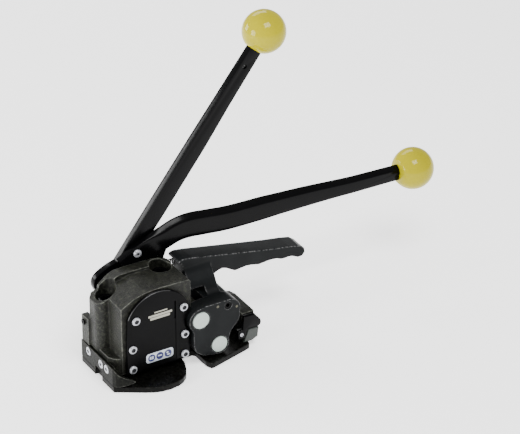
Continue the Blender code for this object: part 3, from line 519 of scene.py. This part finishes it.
cut(cover, block("c", (25.2, 26.3), (-40, COVER_FRONT + 0.8), (13, 80), COVER), block("c", (24.0, 26.3), (-40, COVER_FRONT + 1.5), (62, 82), COVER))

def cap_screw(name, base, direction, rh, hh, rs, ls, mat, origin=None):
    # base: under the head; direction: out of the head
    return turned(name, [(-ls, 0), (-ls, rs), (0, rs), (0, rh), (hh * 0.7, rh), (hh, rh * 0.75), (hh, 0)], base, direction, mat, 12, origin)

for i, (x, z) in enumerate(COVER_SCREWS):
    cap_screw("cover_screw_%d" % (i + 1), (x, COVER_FRONT - GAP, z), (0, -1, 0), 4.4, 2.2, 2.35, 9.0, ZINC)
for i, (y, z) in enumerate(END_SCREWS):
    cap_screw("end_plate_screw_%d" % (i + 1), (-46.4, y, z), (-1, 0, 0), 4.7, 1.5, 2.35, 7.5, ZINC)
cap_screw("lug_screw", (-47.7, 21.5, 50), (-1, 0, 0), 3.4, 0.0 + 1.4, 2.0, 4.5, STEEL_BLACK)

block("instruction_sticker", (-8.7, 22.2), (-37.0, -36.6), (18.5, 29.6), LABEL)
block("name_plate", (-6.0, 22.0), (-37.0, -36.6), (68.0, 77.0), LABEL)

# ---------------------------------------------------------------- sealing shaft, lever and knob
phi = radians(ECC_PHASE)
E = (S1[0] + ECC * cos(phi), S1[1] + ECC * sin(phi))
o_s1 = (S1[0], 0, S1[1])
shaft = turned("sealing_shaft", [(-33.2, 0), (-33.2, 7.0), (-24.7, 7.0), (-24.7, 4.5), (-7.75, 4.5), (-7.75, 9.0), (26.8, 9.0), (26.8, 7.0), (35.2, 7.0), (35.2, 5.0), (44.0, 5.0), (44.0, 0)],
               (S1[0], 0, S1[1]), (0, 1, 0), TOOL, 24, o_s1)
join(shaft, cyl("c", E, ECC_R, "Y", -24.4, -7.6, TOOL, 28))
tube("shaft_bush_front", S1, 10.0, 7.3, -33.3, -26.2, BRONZE, 20)
tube("shaft_bush_rear", S1, 12.5, 9.3, -5.7, 18.7, BRONZE, 24)

u1 = (cos(radians(LEVER1_ANGLE)), sin(radians(LEVER1_ANGLE)))
n1 = (-u1[1], u1[0])
A0 = (1.3, 102.8)
t_end = (KNOB1[0] - A0[0]) * u1[0] + (KNOB1[2] - A0[1]) * u1[1]
def on1(t, s): return (A0[0] + u1[0] * t + n1[0] * s, A0[1] + u1[1] * t + n1[1] * s)
te = t_end - 20.6
lever1 = prism("sealing_lever", [on1(-30, -13.0), on1(70, -13.0), on1(141, -12.0), on1(190, -9.8), on1(te, -8.3), on1(te, 6.2), on1(190, 6.3), on1(141, 6.5), on1(70, 6.1), on1(-3.7, 5.3)], "Y", SL_Y[0], SL_Y[1], STEEL_BLACK, o_s1)
# the root is a broad plate with a lobe to the left
arm1 = prism("c", arc(S1, 15.0, 215, 380, 10 * Q) + [on1(-28, -12.6), on1(2, -12.6), on1(2, 5.0), (-5.2, 103.2), (-12.8, 101.0), (-19.5, 98.1), (-24.0, 95.8), (-27.2, 93.5), (-29.4, 91.2), (-30.8, 88.8), (-31.7, 86.0), (-31.7, 81.7), (-29.5, 76.0)],
             "Y", SL_Y[0] + 0.2, SL_Y[1] - 0.3, STEEL_BLACK)
join(lever1, arm1)
b1 = (KNOB1[0] - u1[0] * 26, KNOB1[1], KNOB1[2] - u1[1] * 26)
join(lever1, turned("c", [(0, 0), (0, 3.6), (20, 3.6), (20, 0)], b1, (u1[0], 0, u1[1]), STEEL_BLACK, 12))
cut(lever1, cyl("c", S1, 7.3, "Y", 20, 40, STEEL_BLACK, 20))
hx = on1(t_end - 40, 0)
cut(lever1, cyl("c", hx, 2.4, "Y", 20, 40, STEEL_BLACK, 12))

def knob(name, centre, direction, origin, flat):
    # ball with a blind bore and a flat, which face the lever
    a0 = 180 - 180 / pi * atan2(sqrt(KNOB_R ** 2 - flat ** 2), flat)
    m = 12 * Q
    prof = [(-3.0, 0), (-3.0, 4.0), (-flat, 4.0)]
    for i in range(m + 1):
        a = radians(a0 * (1 - i / m))
        prof.append((KNOB_R * cos(a), KNOB_R * sin(a) if i < m else 0))
    return turned(name, prof, centre, direction, YELLOW, 24, origin)
knob("sealing_knob", KNOB1, (u1[0], 0, u1[1]), o_s1, 20.2)
tube("shaft_washer", S1, 11.0, 5.3, 35.5, 37.3, ZINC, 20, o_s1)
nut = prism("shaft_nut", ring_pts(S1, 9.0, 6), "Y", 37.6, 43.6, ZINC, o_s1)
cut(nut, cyl("c", S1, 5.3, "Y", 30, 50, ZINC, 16))

# ---------------------------------------------------------------- punch carrier and tools
car = block("punch_carrier", (-14.1, 20.1), (-24.2, -8.0), (23.0, 80.0), TOOL)
cut(car, block("c", (S1[0] - 15.6, S1[0] + 7.6), (-30, 0), (E[1] - 10.7, E[1] + 10.7), TOOL))
for i, x in enumerate((-9.0, 7.0)):
    block("punch_%d" % (i + 1), (x - 3.0, x + 3.0), (-22.0, -10.0), (11.6, 22.7), TOOL)
prism("strap_cutter", [(16.3, 11.9), (18.5, 11.6), (18.5, 22.7), (16.3, 22.7)], "Y", -24.0, -8.0, TOOL)

# ---------------------------------------------------------------- tension lever
path = [(-1, 97.6), (12, 104.5), (30, 112.6), (48.3, 119.6), (62, 123.8), (76.3, 124.6), (95, 122.5), (122.8, 119.6), (170, 118.6), (217.7, 117.2), (270, 114.6)]
kd = Vector((KNOB2[0] - 270, KNOB2[2] - 114.6)).normalized()
tend = (KNOB2[0] - kd.x * 19.0, KNOB2[2] - kd.y * 19.0)
sm = catmull(path, 3 * Q) + [tend]
tot = len(sm) - 1
depth = [(-10, 12.2), (50, 12.6), (75, 13.0), (110, 12.8), (160, 12.4), (182, 11.5), (205, 10.8), (252, 9.0), (298, 8.0), (400, 7.6)]
def half_at(x):
    for (x0, h0), (x1, h1) in zip(depth, depth[1:]):
        if x <= x1:
            return h0 + (h1 - h0) * (x - x0) / (x1 - x0)
halfs = [half_at(p[0]) for p in sm]
lever2 = shoulder_sweep("tension_lever", sm, halfs, TL_Y, STEEL_BLACK)
web = prism("c", arc(S1, 15.0, 150, 282, 10 * Q) + [(24, 58.0), (40, 72), (44, 98), (50, 113), (-2, 94)], "Y", TL_Y[0] + 0.25, TL_Y[1] - 0.3, STEEL_BLACK)
join(web, prism("c", capsule((12, 60), 9.0, PAWL, 7.5), "Y", TL_Y[0] + 0.45, TL_Y[1] - 0.5, STEEL_BLACK))
join(lever2, web)
join(lever2, turned("c", [(0, 0), (0, 3.6), (20, 3.6), (20, 0)], (KNOB2[0] - kd.x * 26, KNOB2[1], KNOB2[2] - kd.y * 26), (kd.x, 0, kd.y), STEEL_BLACK, 12))
cut(lever2, cyl("c", S1, 9.3, "Y", 15, 30, STEEL_BLACK, 24), cyl("c", PAWL, 3.3, "Y", 15, 30, STEEL_BLACK, 14),
    cyl("c", (13.5, 112.5), 2.3, "Y", 15, 30, STEEL_BLACK, 12))
knob("tension_knob", KNOB2, (kd.x, 0, kd.y), o_s1, 18.6)
cap_screw("lever_stop_screw", (13.5, 19.3, 112.5), (0, -1, 0), 4.2, 2.6, 2.0, 6.5, ZINC, o_s1)
turned("pawl_pin", [(19.3, 0), (19.3, 3.0), (31.4, 3.0), (31.4, 4.6), (33.0, 4.6), (33.0, 0)], (PAWL[0], 0, PAWL[1]), (0, 1, 0), TOOL, 14, o_s1)

pw = prism("drive_pawl", capsule(PAWL, 6.0, (78.0, 40.5), 3.4, 6)[:0] + arc(PAWL, 6.0, 60, 290, 8 * Q) + [(74.5, 34.6), (79.6, 34.0), (81.8, 36.4), (78.5, 44.0)], "Y", 26.9, 31.1, TOOL, (PAWL[0], 0, PAWL[1]))
cut(pw, cyl("c", PAWL, 3.3, "Y", 20, 40, TOOL, 14))

# ---------------------------------------------------------------- rocker with grip
o_c1 = (C1[0], 0, C1[1])
front = arc(C1, 13.5, 106, 222, 8 * Q) + [(43.4, 40), (43.4, 24), (46.5, 16.5), (54, 10.8)] + arc(C2, 11.4, 258, 378, 8 * Q) + \
        [(84.9, 26.2), (86.6, 30.6)] + arc((81.2, 48.3), 16.0, -50, 10, 5 * Q) + arc((84.0, 54.4), 13.6, 2, 88, 6 * Q) + [(58, 68.0)]
rock = prism("rocker_body", front, "Y", ROCKER_FRONT, ROCKER_BLOCK_BACK, ROCKER, o_c1)
bridge = [(64.8, 38), (90, 36), (96.6, 46), (97.2, 54), (95.5, 61.0), (91.0, 65.6), (85, 67.2), (64.8, 67.4)]
join(rock, prism("c", bridge, "Y", ROCKER_BLOCK_BACK - 2, 12.0, ROCKER))
neck = [(66, 51), (94, 50), (93.6, 58), (89.6, 63.5), (85.4, 67.6), (84.8, 70.4), (85.7, 73.6), (88.5, 76.5), (92.2, 78.4), (95.7, 79.6), (99.5, 80.0), (103.6, 78.6), (108, 76.0), (111.5, 73.8), (114.1, 72.6),
        (118, 73.0), (120.8, 73.5), (127, 74.0), (133, 73.4), (137, 72.4), (141, 71.4), (144, 71.4), (150, 72.0), (157, 72.3), (163.7, 71.5), (167, 70.0), (169.8, 69.1),
        (173, 69.0), (178, 69.5), (181.9, 68.8), (185.5, 67.0), (189.0, 65.4), (193.8, 65.6), (197.0, 69.8), (196.2, 74.6), (190, 79.0), (178, 81.7), (160, 84.5), (120, 92.3),
        (64, 103.4), (56, 104.4), (51.8, 104.4), (48.9, 103.6), (48.0, 102.2), (48.5, 100.8), (50.4, 99.9), (52.8, 99.5), (52.8, 91.5), (52.8, 86.5), (53.6, 81.0), (55.2, 76.0), (58.4, 71.6), (62.4, 68.2), (65.0, 64.0), (65.6, 60.0)]
join(rock, prism("c", neck, "Y", GRIP_FRONT, GRIP_BACK, ROCKER))
# the grip's front face swells into a scoop that runs out over the block
swell = [(-3, 99), (-3.9, 94), (-6.2, 89), (-10.0, 84.6), (-13.6, 80.4), (-16.0, 76.4)]
scoop = catmull(swell + [(-19.4, 71.6), (-23.0, 68.6), (-26.8, 67.4)], 2 * Q)
join(rock, prism("c", scoop + [(-26.8, 60), (-3, 60)], "X", 70.0, 84.6, ROCKER))
lip = catmull(swell + [(-15.6, 74.6), (-13.0, 73.4), (-8.4, 72.2), (-3, 70.6)], 2 * Q)
join(rock, prism("c", lip, "X", 54.2, 70.6, ROCKER))
cheek = [(64.6, 66), (62.6, 54), (59.5, 42)] + arc(HOLD, 6.0, 60, 250, 6 * Q) + [(58.5, 24)] + arc(C2, 11.4, 195, 350, 7 * Q) + [(92.0, 42), (94, 60)]
join(rock, prism("c", cheek, "Y", 6.0, GRIP_BACK - 0.3, ROCKER))
cut(rock, cyl("c", C1, 9.8, "Y", -50, -37.0, ROCKER, 24), cyl("c", C1, 6.3, "Y", -50, -20, ROCKER, 20))
cut(rock, cyl("c", C2, 9.5, "Y", -50, -37.0, ROCKER, 24), cyl("c", C2, 8.3, "Y", -50, 30, ROCKER, 20))
cut(rock, cyl("c", (83.4, 60.9), 4.1, "Y", -50, -34.0, ROCKER, 14), cyl("c", HOLD, 3.3, "Y", 0, 30, ROCKER, 14))
tube("wheel_bush_front", C2, 8.0, 6.3, -36.6, -25.3, BRONZE, 18, o_c1)
tube("wheel_bush_rear", C2, 8.0, 6.3, 6.3, 17.6, BRONZE, 18, o_c1)
turned("rocker_set_screw", [(-39.6, 0), (-39.6, 2.0), (-40.8, 2.0), (-40.8, 3.8), (-34.4, 3.8), (-34.4, 0)], (83.4, 0, 60.9), (0, 1, 0), STEEL_BLACK, 12, o_c1)
turned("holding_pawl_pin", [(5.4, 0), (5.4, 3.0), (31.4, 3.0), (31.4, 4.6), (32.8, 4.6), (32.8, 0)], (HOLD[0], 0, HOLD[1]), (0, 1, 0), TOOL, 14, o_c1)
turned("rocker_pivot_pin", [(-42.4, 0), (-42.4, 8.8), (-41.9, 9.2), (-37.4, 9.2), (-37.4, 6.0), (2.4, 6.0), (2.4, 0)], (C1[0], 0, C1[1]), (0, 1, 0), PIN, 24)

# ---------------------------------------------------------------- feed wheel group
o_c2 = (C2[0], 0, C2[1])
turned("feed_wheel_shaft", [(-42.4, 0), (-42.4, 8.3), (-41.9, 8.7), (-37.4, 8.7), (-37.4, 6.0), (34.4, 6.0), (34.4, 0)], (C2[0], 0, C2[1]), (0, 1, 0), PIN, 24, o_c2)
def toothed(c, r_in, r_out, teeth, lean):
    out = []
    for i in range(teeth):
        a = 2 * pi * i / teeth
        out.append((c[0] + r_in * cos(a), c[1] + r_in * sin(a)))
        a += 2 * pi / teeth * lean
        out.append((c[0] + r_out * cos(a), c[1] + r_out * sin(a)))
    return out
wheel = prism("feed_wheel", toothed(C2, 10.3, 11.0, 36, 0.5), "Y", -23.0, -13.0, TOOL, o_c2)
cut(wheel, cyl("c", C2, 6.3, "Y", -40, 0, TOOL, 18))
rat = prism("ratchet_wheel", toothed(C2, 9.6, 12.0, 16, 0.85), "Y", 26.9, 31.1, TOOL, o_c2)
cut(rat, cyl("c", C2, 6.3, "Y", 20, 40, TOOL, 18))
tube("wheel_circlip", C2, 9.0, 6.3, 31.5, 33.0, STEEL_BLACK, 16, o_c2)

tip = (C2[0] + 12.5 * cos(radians(150)), C2[1] + 12.5 * sin(radians(150)))
hp = prism("holding_pawl", arc(HOLD, 5.6, 40, 235, 8 * Q) + [(55.4, 27.4), tip, (tip[0] + 0.9, tip[1] + 2.2)], "Y", 26.9, 31.1, TOOL, (HOLD[0], 0, HOLD[1]))
cut(hp, cyl("c", HOLD, 3.3, "Y", 20, 40, TOOL, 14))

# ---------------------------------------------------------------- tension side frame and strap guide
fr = prism("tension_frame", [(-30, 6.6), (25.6, 6.6), (25.6, 31.5), (18, 35.5), (8, 37.8), (-29.2, 37.8), (-30, 37.2)], "X", 106, 120, CAST)
join(fr, prism("c", [(90, 6.8), (108, 6.8), (108, 33.2), (100, 32.6), (94, 29.5), (90, 24)], "Y", 19.2, 25.4, CAST))
cut(fr, block("c", (80, 130), (-40, -3.0), (0, CHANNEL_TOP), CAST))
guide = prism("strap_guide_right", [(104.5, 6.6), (114.5, 6.6), (121.0, 9.6), (122.4, 20.6), (110.4, 20.8), (109.2, 17.6)], "Y", -36.4, -30.3, GUIDE)
cap_screw("strap_guide_screw", (101.9, -36.2, 17.2), (0, -1, 0), 2.1, 1.0, 1.25, 4.6, ZINC)
cap = prism("guide_cap", [(98.4, 11.2), (105.9, 11.2), (108.8, 18.0), (110.1, 21.2), (122.8, 21.0), (124.6, 22.4), (125.5, 25.4), (124.8, 28.4), (122.4, 31.6), (119.8, 34.2), (118.4, 36.4), (105.2, 36.9), (104.0, 22.0), (98.4, 21.6)], "Y", -35.9, -30.3, STEEL_BLACK)
cut(cap, cyl("c", (101.9, 17.2), 1.6, "Y", -40, -20, STEEL_BLACK, 12))

# ---------------------------------------------------------------- return spring between the housing and the grip
def coil(name, p0, p1, r, wire, turns, mat, per=10, sides=6):
    bm = bmesh.new()
    rows = []
    total = int(turns * per * Q)
    for i in range(total + 1):
        t = i / total
        a = 2 * pi * turns * t
        x = p0[0] + wire + (p1[0] - p0[0] - 2 * wire) * t
        c = Vector((x, p0[1] + r * cos(a), p0[2] + r * sin(a)))
        rad = Vector((0, cos(a), sin(a)))
        row = []
        for k in range(sides):
            b = 2 * pi * k / sides
            row.append(bm.verts.new((c + rad * wire * cos(b) + Vector((1, 0, 0)) * wire * sin(b)) * MM))
        rows.append(row)
    for r0, r1 in zip(rows, rows[1:]):
        for k in range(sides):
            j = (k + 1) % sides
            bm.faces.new((r0[k], r0[j], r1[j], r1[k]))
    bm.faces.new(rows[0])
    bm.faces.new(rows[-1])
    return finish(name, bm, mat)
coil("rocker_return_spring", (46.2, 11.5, 94.8), (52.5, 11.5, 94.8), 3.6, 0.75, 2.25, SPRING)

# ================================================================ looks
def evaluated(ob):
    bpy.context.view_layer.update()
    dg = bpy.context.evaluated_depsgraph_get()
    new = bpy.data.meshes.new_from_object(ob.evaluated_get(dg))
    ob.modifiers.clear()
    old = ob.data
    mats = [m for m in old.materials][:1]
    ob.data = new
    new.name = ob.name
    new.materials.clear()
    for m in mats:
        new.materials.append(m)
    for p in new.polygons:
        p.material_index = 0
    bpy.data.meshes.remove(old)
    return ob

def set_mat(ob, mat):
    ob.data.materials.clear()
    ob.data.materials.append(mat)

def clamp_to(ob, lo, hi):
    for v in ob.data.vertices:
        v.co = Vector((min(max(v.co.x, lo.x), hi.x), min(max(v.co.y, lo.y), hi.y), min(max(v.co.z, lo.z), hi.z)))

def casting(name, voxel, smooth, rough=0.00007, scale=420.0):
    # a casting: every edge gets its fillet, and the skin a fine sand texture
    ob = V[name]
    m = ob.modifiers.new("r", "REMESH"); m.mode = "VOXEL"; m.voxel_size = voxel * MM; m.adaptivity = 0.0
    s_ = ob.modifiers.new("s", "SMOOTH"); s_.factor = 0.5; s_.iterations = smooth
    evaluated(ob)
    me = ob.data
    if rough > 0:
        me.update()
        nrm = [v.normal.copy() for v in me.vertices]
        for v, n_ in zip(me.vertices, nrm):
            k = noise.fractal(v.co * scale, 0.9, 2.1, 3)
            v.co -= n_ * rough * (0.9 + k)
    me.shade_smooth()
    lo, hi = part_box(name)
    clamp_to(ob, lo, hi)
    return ob

def rounded(ob, width, segs=3, angle=38):
    m = ob.modifiers.new("bv", "BEVEL")
    m.width = width * MM; m.segments = segs; m.limit_method = "ANGLE"; m.angle_limit = radians(angle)
    m.miter_outer = "MITER_ARC"; m.use_clamp_overlap = True; m.harden_normals = False
    evaluated(ob)
    ob.data.shade_smooth()
    ob.data.set_sharp_from_angle(angle=radians(50))
    return ob

casting("sealer_housing", 0.6, 5, 0.00009)
casting("base_plate", 0.55, 3, 0.00004)
set_mat(V["base_plate"], BASEM)
casting("end_guide_plate", 0.5, 2, 0.00003)
casting("tension_frame", 0.6, 3, 0.00008)
set_mat(V["tension_frame"], FRAMEM)
set_mat(V["end_guide_plate"], PLATEM)
casting("rocker_body", 0.6, 7, 0.0)
casting("strap_guide_right", 0.45, 2, 0.0)

# front cover: rounded edge first, then the holes and the groove
def remake(name):
    bpy.data.objects.remove(V.pop(name), do_unlink=True)

remake("front_cover")
cv = prism("front_cover", cover_out, "Y", COVER_FRONT, HOUSING_FRONT - GAP, COVER)
rounded(cv, 1.1, 4, 30)
for x, z in COVER_SCREWS:
    cut(cv, cyl("c", (x, z), 2.7, "Y", -40, -30, COVER, 12))
cut(cv, block("c", (25.3, 26.2), (-40, COVER_FRONT + 0.7), (13, 80), COVER), block("c", (24.0, 26.3), (-40, COVER_FRONT + 1.5), (62, 82), COVER))
join(cv, cyl("c", S1, 13.2, "Y", -34, -26.0, COVER, 24))
cut(cv, cyl("c", S1, 10.3, "Y", -33.6, -20, COVER, 24))
# the upper-left faces of the rounded arc edge take the lighter material: a painted highlight along the cover's arc
cv.data.materials.append(RIM_HIGHLIGHT)
for f in cv.data.polygons:
    if f.center.y < (COVER_FRONT + 0.75) * MM and -0.93 < f.normal.y < -0.30 and f.area < 2.2e-5 and f.center.z > 0.055 and f.normal.z > 0.2 and f.center.x < 0.020:
        f.material_index = 1

rounded(V["sealing_lever"], 1.2, 3, 35)
rounded(V["tension_lever"], 1.0, 3, 42)

# screws: pan heads with a socket
def socket_screw(name, base, direction, rh, hh, rs, ls, mat, sock_r, sock_d, sides=6, dome=True):
    old = V.pop(name)
    bpy.data.objects.remove(old, do_unlink=True)
    prof = [(-ls, 0), (-ls, rs * 0.8), (-ls + 0.6, rs), (0, rs), (0, rh * 0.97), (hh * 0.12, rh), (hh * 0.55, rh)]
    if dome:
        for k in range(1, 7):
            a = radians(15 * k)
            prof.append((hh * 0.55 + hh * 0.45 * sin(a), rh - (rh * 0.32) * (1 - cos(a))))
    else:
        prof += [(hh * 0.9, rh * 0.98), (hh, rh * 0.93)]
    prof.append((hh, 0))
    ob = turned(name, prof, base, direction, mat, 16)
    d = Vector(direction).normalized()
    tip = Vector(base) + d * (hh - sock_d)
    sk = finish("c", turned_bm([(0, 0), (sock_d * 0.15, sock_r), (sock_d + 3, sock_r), (sock_d + 3, 0)], tip, d, sides), mat)
    cut(ob, sk)
    # the socket walls take a near-black material: painted shade in the recess
    ob.data.materials.append(SOCKET_SHADE)
    b_ = Vector(base) * MM
    for f in ob.data.polygons:
        r_ = f.center - b_
        h_ = r_.dot(d)
        q_ = (r_ - d * h_).length
        if q_ < sock_r * MM * 1.02 and h_ < (hh - 0.02) * MM and h_ > (hh - sock_d - 0.3) * MM and h_ > 0:
            f.material_index = 1
    return ob

for i, (x, z) in enumerate(COVER_SCREWS):
    socket_screw("cover_screw_%d" % (i + 1), (x, COVER_FRONT - GAP, z), (0, -1, 0), 4.4, 2.2, 2.35, 9.0, ZINC, 2.75, 1.2)
for i, (y, z) in enumerate(END_SCREWS):
    socket_screw("end_plate_screw_%d" % (i + 1), (-46.4, y, z), (-1, 0, 0), 4.7, 1.5, 2.35, 7.5, ZINC, 2.1, 0.9, 6, True)
socket_screw("lever_stop_screw", (13.5, 19.3, 112.5), (0, -1, 0), 4.2, 2.6, 2.0, 6.5, ZINC, 1.6, 1.3)
socket_screw("strap_guide_screw", (101.9, -36.2, 17.2), (0, -1, 0), 2.1, 1.0, 1.25, 4.6, ZINC, 0.7, 0.5)
rounded(V["guide_cap"], 0.8, 3, 60)
socket_screw("lug_screw", (-47.7, 21.5, 50), (-1, 0, 0), 3.4, 1.4, 2.0, 4.5, STEEL_BLACK, 1.3, 0.8)

# socket heads sunk in the housing
for i, (x, z0) in enumerate(((-30.5, 72.0), (31.5, 84.0))):
    nm = "housing_bolt_" + ("left", "right")[i]
    cut(V[nm], finish("c", turned_bm([(z0 + 4.4 - 2, 0), (z0 + 4.5 - 2, 4.6), (z0 + 14 - 2, 4.6), (z0 + 14 - 2, 0)], (x, 5, 2.0), (0, 0, 1), 6), STEEL_BLACK))
    rounded(V[nm], 0.5, 2, 40)

rounded(V["rocker_pivot_pin"], 0.25, 2, 25)
rounded(V["feed_wheel_shaft"], 0.25, 2, 25)
cut(V["rocker_set_screw"], finish("c", turned_bm([(-45, 0), (-45, 2.3), (-37.5, 2.3), (-37.5, 0)], (83.4, 0, 60.9), (0, 1, 0), 6), STEEL_BLACK))
for nm in ("shaft_nut", "shaft_washer", "drive_pawl", "holding_pawl", "punch_carrier", "punch_1", "punch_2", "strap_cutter", "die_plate", "strap_back_stop", "pawl_pin", "holding_pawl_pin"):
    rounded(V[nm], 0.35, 2, 40)
for nm in ("feed_wheel", "ratchet_wheel", "gripper_insert"):
    rounded(V[nm], 0.12, 1, 40)

# knobs: the edge round the flat where the lever enters stays sharp, and each knob is held inside its part's box
for nm, mat in (("sealing_knob", YELLOW), ("tension_knob", YELLOW)):
    V[nm].data.set_sharp_from_angle(angle=radians(60))
    clamp_to(V[nm], *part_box(nm))

# finer spring wire
remake("rocker_return_spring")
coil("rocker_return_spring", (46.2, 11.5, 94.8), (52.5, 11.5, 94.8), 3.6, 0.75, 2.25, SPRING, per=24, sides=12)

# sticker: white rounded plate with three plain round marks
remake("instruction_sticker")
def rrect(x0, x1, z0, z1, r, n=8, tilt=0.0):
    pts = []
    for cx, cz, a0 in ((x1 - r, z1 - r, 0), (x0 + r, z1 - r, 90), (x0 + r, z0 + r, 180), (x1 - r, z0 + r, 270)):
        pts += arc((cx, cz), r, a0, a0 + 90, n)
    return pts
st = prism("instruction_sticker", rrect(-8.7, 22.2, 18.7, 29.4, 3.0), "Y", -36.9, -36.6, LABEL)
rounded(st, 0.08, 1, 40)
def trim(name, pts, y0, y1, mat, body="base", slot="label_white"):
    ob = prism(name, pts, "Y", y0, y1, mat)
    V.pop(name)
    EXTRA.append((ob, body, slot))
    return ob
for i, cx in enumerate((-2.6, 6.75, 16.1)):
    trim("sticker_mark_%d" % (i + 1), ring_pts((cx, 24.05), 4.1, 40), -36.98, -36.91, BLUE)
# plain white shapes on the three marks
trim("sticker_glyph_1a", rrect(-4.9, -2.9, 22.4, 25.8, 0.4), -37.06, -36.99, LABEL)
trim("sticker_glyph_1b", rrect(-2.4, -0.4, 22.4, 25.8, 0.4), -37.06, -36.99, LABEL)
trim("sticker_glyph_2", rrect(4.4, 9.1, 23.6, 25.0, 0.6), -37.06, -36.99, LABEL)
trim("sticker_glyph_3a", ring_pts((15.4, 25.3), 1.2, 24), -37.06, -36.99, LABEL)
trim("sticker_glyph_3b", rrect(15.0, 18.3, 21.9, 23.4, 0.6), -37.06, -36.99, LABEL)

# name plate: three blank pale bars
remake("name_plate")
np_ = prism("name_plate", rrect(-5.2, 21.6, 71.2, 73.6, 0.4), "Y", -36.75, -36.6, PALE)
trim("plate_bar_low", rrect(-3.2, 19.2, 68.0, 70.6, 0.3), -36.75, -36.6, PALE, slot="label_pale")
trim("plate_bar_top", rrect(1.6, 16.4, 75.2, 76.6, 0.5), -36.75, -36.6, PALE, slot="label_pale")

# two rubbed spots on the block face, either side of the set screw
trim("rocker_spot_1", ring_pts((71.2, 63.5), 1.5, 20), -42.06, -41.9, BRASSY, body="rocker", slot="dark_rocker")
trim("rocker_spot_2", ring_pts((93.1, 57.2), 1.4, 20), -42.06, -41.9, BRASSY, body="rocker", slot="dark_rocker")

# ---------------------------------------------------------------- attach
body_of = {n_: b_ for b_, ns in frame["record"]["behaviour"]["bodies"].items() for n_ in ns}
missing = set(frame["nodes"]) - set(V)
if missing:
    print("no detailed piece for", sorted(missing))
for name, ob in V.items():
    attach(ob, body_of[name])
    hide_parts(name)
for ob, body, sl in EXTRA:
    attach(ob, body)
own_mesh(V["rocker_return_spring"])

# ---------------------------------------------------------------- stage, light, camera
def stage_floor():
    me = bpy.data.meshes.new("floor")
    bm = bmesh.new()
    s_ = 6.0
    f = bm.faces.new([bm.verts.new(p) for p in ((-s_, -s_, -0.0003), (s_, -s_, -0.0003), (s_, s_, -0.0003), (-s_, s_, -0.0003))])
    bm.to_mesh(me); bm.free()
    ob = bpy.data.objects.new("floor", me)
    bpy.context.scene.collection.objects.link(ob)
    m, nt, b = nodes_of("floor_white")
    b.inputs["Base Color"].default_value = (0.93, 0.93, 0.93, 1)
    b.inputs["Roughness"].default_value = 0.9
    b.inputs["Specular IOR Level"].default_value = 0.0
    # a back-lit white sweep: it glows a little of its own
    b.inputs["Emission Color"].default_value = (1.0, 1.0, 1.0, 1)
    b.inputs["Emission Strength"].default_value = 1.1
    me.materials.append(m)
stage_floor()

w = bpy.context.scene.world or bpy.data.worlds.new("World")
bpy.context.scene.world = w
w.use_nodes = True
bg = w.node_tree.nodes["Background"]
bg.inputs["Color"].default_value = (1.0, 1.0, 1.0, 1)
bg.inputs["Strength"].default_value = 0.70

def area(name, loc, target, size, power, colour=(1, 1, 1)):
    d = bpy.data.lights.new(name, "AREA")
    d.shape = "RECTANGLE"
    d.size, d.size_y = size
    d.energy = power
    d.color = colour
    ob = bpy.data.objects.new(name, d)
    bpy.context.scene.collection.objects.link(ob)
    ob.location = loc
    ob.rotation_euler = (Vector(target) - Vector(loc)).to_track_quat("-Z", "Y").to_euler()
    return ob
CTR = Vector((0.11, 0.0, 0.13))
def soft(name, direction, dist, size, power):
    d = Vector(direction).normalized()
    return area(name, CTR + d * dist, CTR, size, power)
soft("key", (0.01, -0.48, 0.87), 1.6, (0.75, 0.62), 29)
soft("left", (-0.97, -0.02, 0.20), 1.7, (0.7, 0.7), 33)
soft("back", (0.25, 0.9, 0.75), 1.8, (1.2, 0.6), 14)
soft("rim", (-0.65, 0.74, 0.21), 1.7, (0.55, 0.55), 15)

AZ, EL, DIST = 30.8, 30.3, 3.0
a_, e_ = radians(AZ), radians(EL)
cc = Vector((-sin(a_) * cos(e_), -cos(a_) * cos(e_), sin(e_)))
rr_ = Vector((cos(a_), -sin(a_), 0))
uu = Vector((sin(a_) * sin(e_), cos(a_) * sin(e_), cos(e_)))
T = Vector((-0.048, -0.040, 0.0))
F = 3012.0
tpx = (113.8, 392.5)
# place the eye so that the point T lands at tpx in the 520 x 434 frame
pos = T + cc * DIST - rr_ * ((tpx[0] - 260) / F * DIST) + uu * ((tpx[1] - 217) / F * DIST)
cam = bpy.data.cameras.new("camera")
cam.sensor_fit = "HORIZONTAL"
cam.sensor_width = 36.0
cam.lens = F * 36.0 / 520.0
cam.clip_end = 50
co = bpy.data.objects.new("camera", cam)
bpy.context.scene.collection.objects.link(co)
co.matrix_world = Matrix(((rr_.x, uu.x, cc.x, pos.x), (rr_.y, uu.y, cc.y, pos.y), (rr_.z, uu.z, cc.z, pos.z), (0, 0, 0, 1)))
bpy.context.scene.camera = co
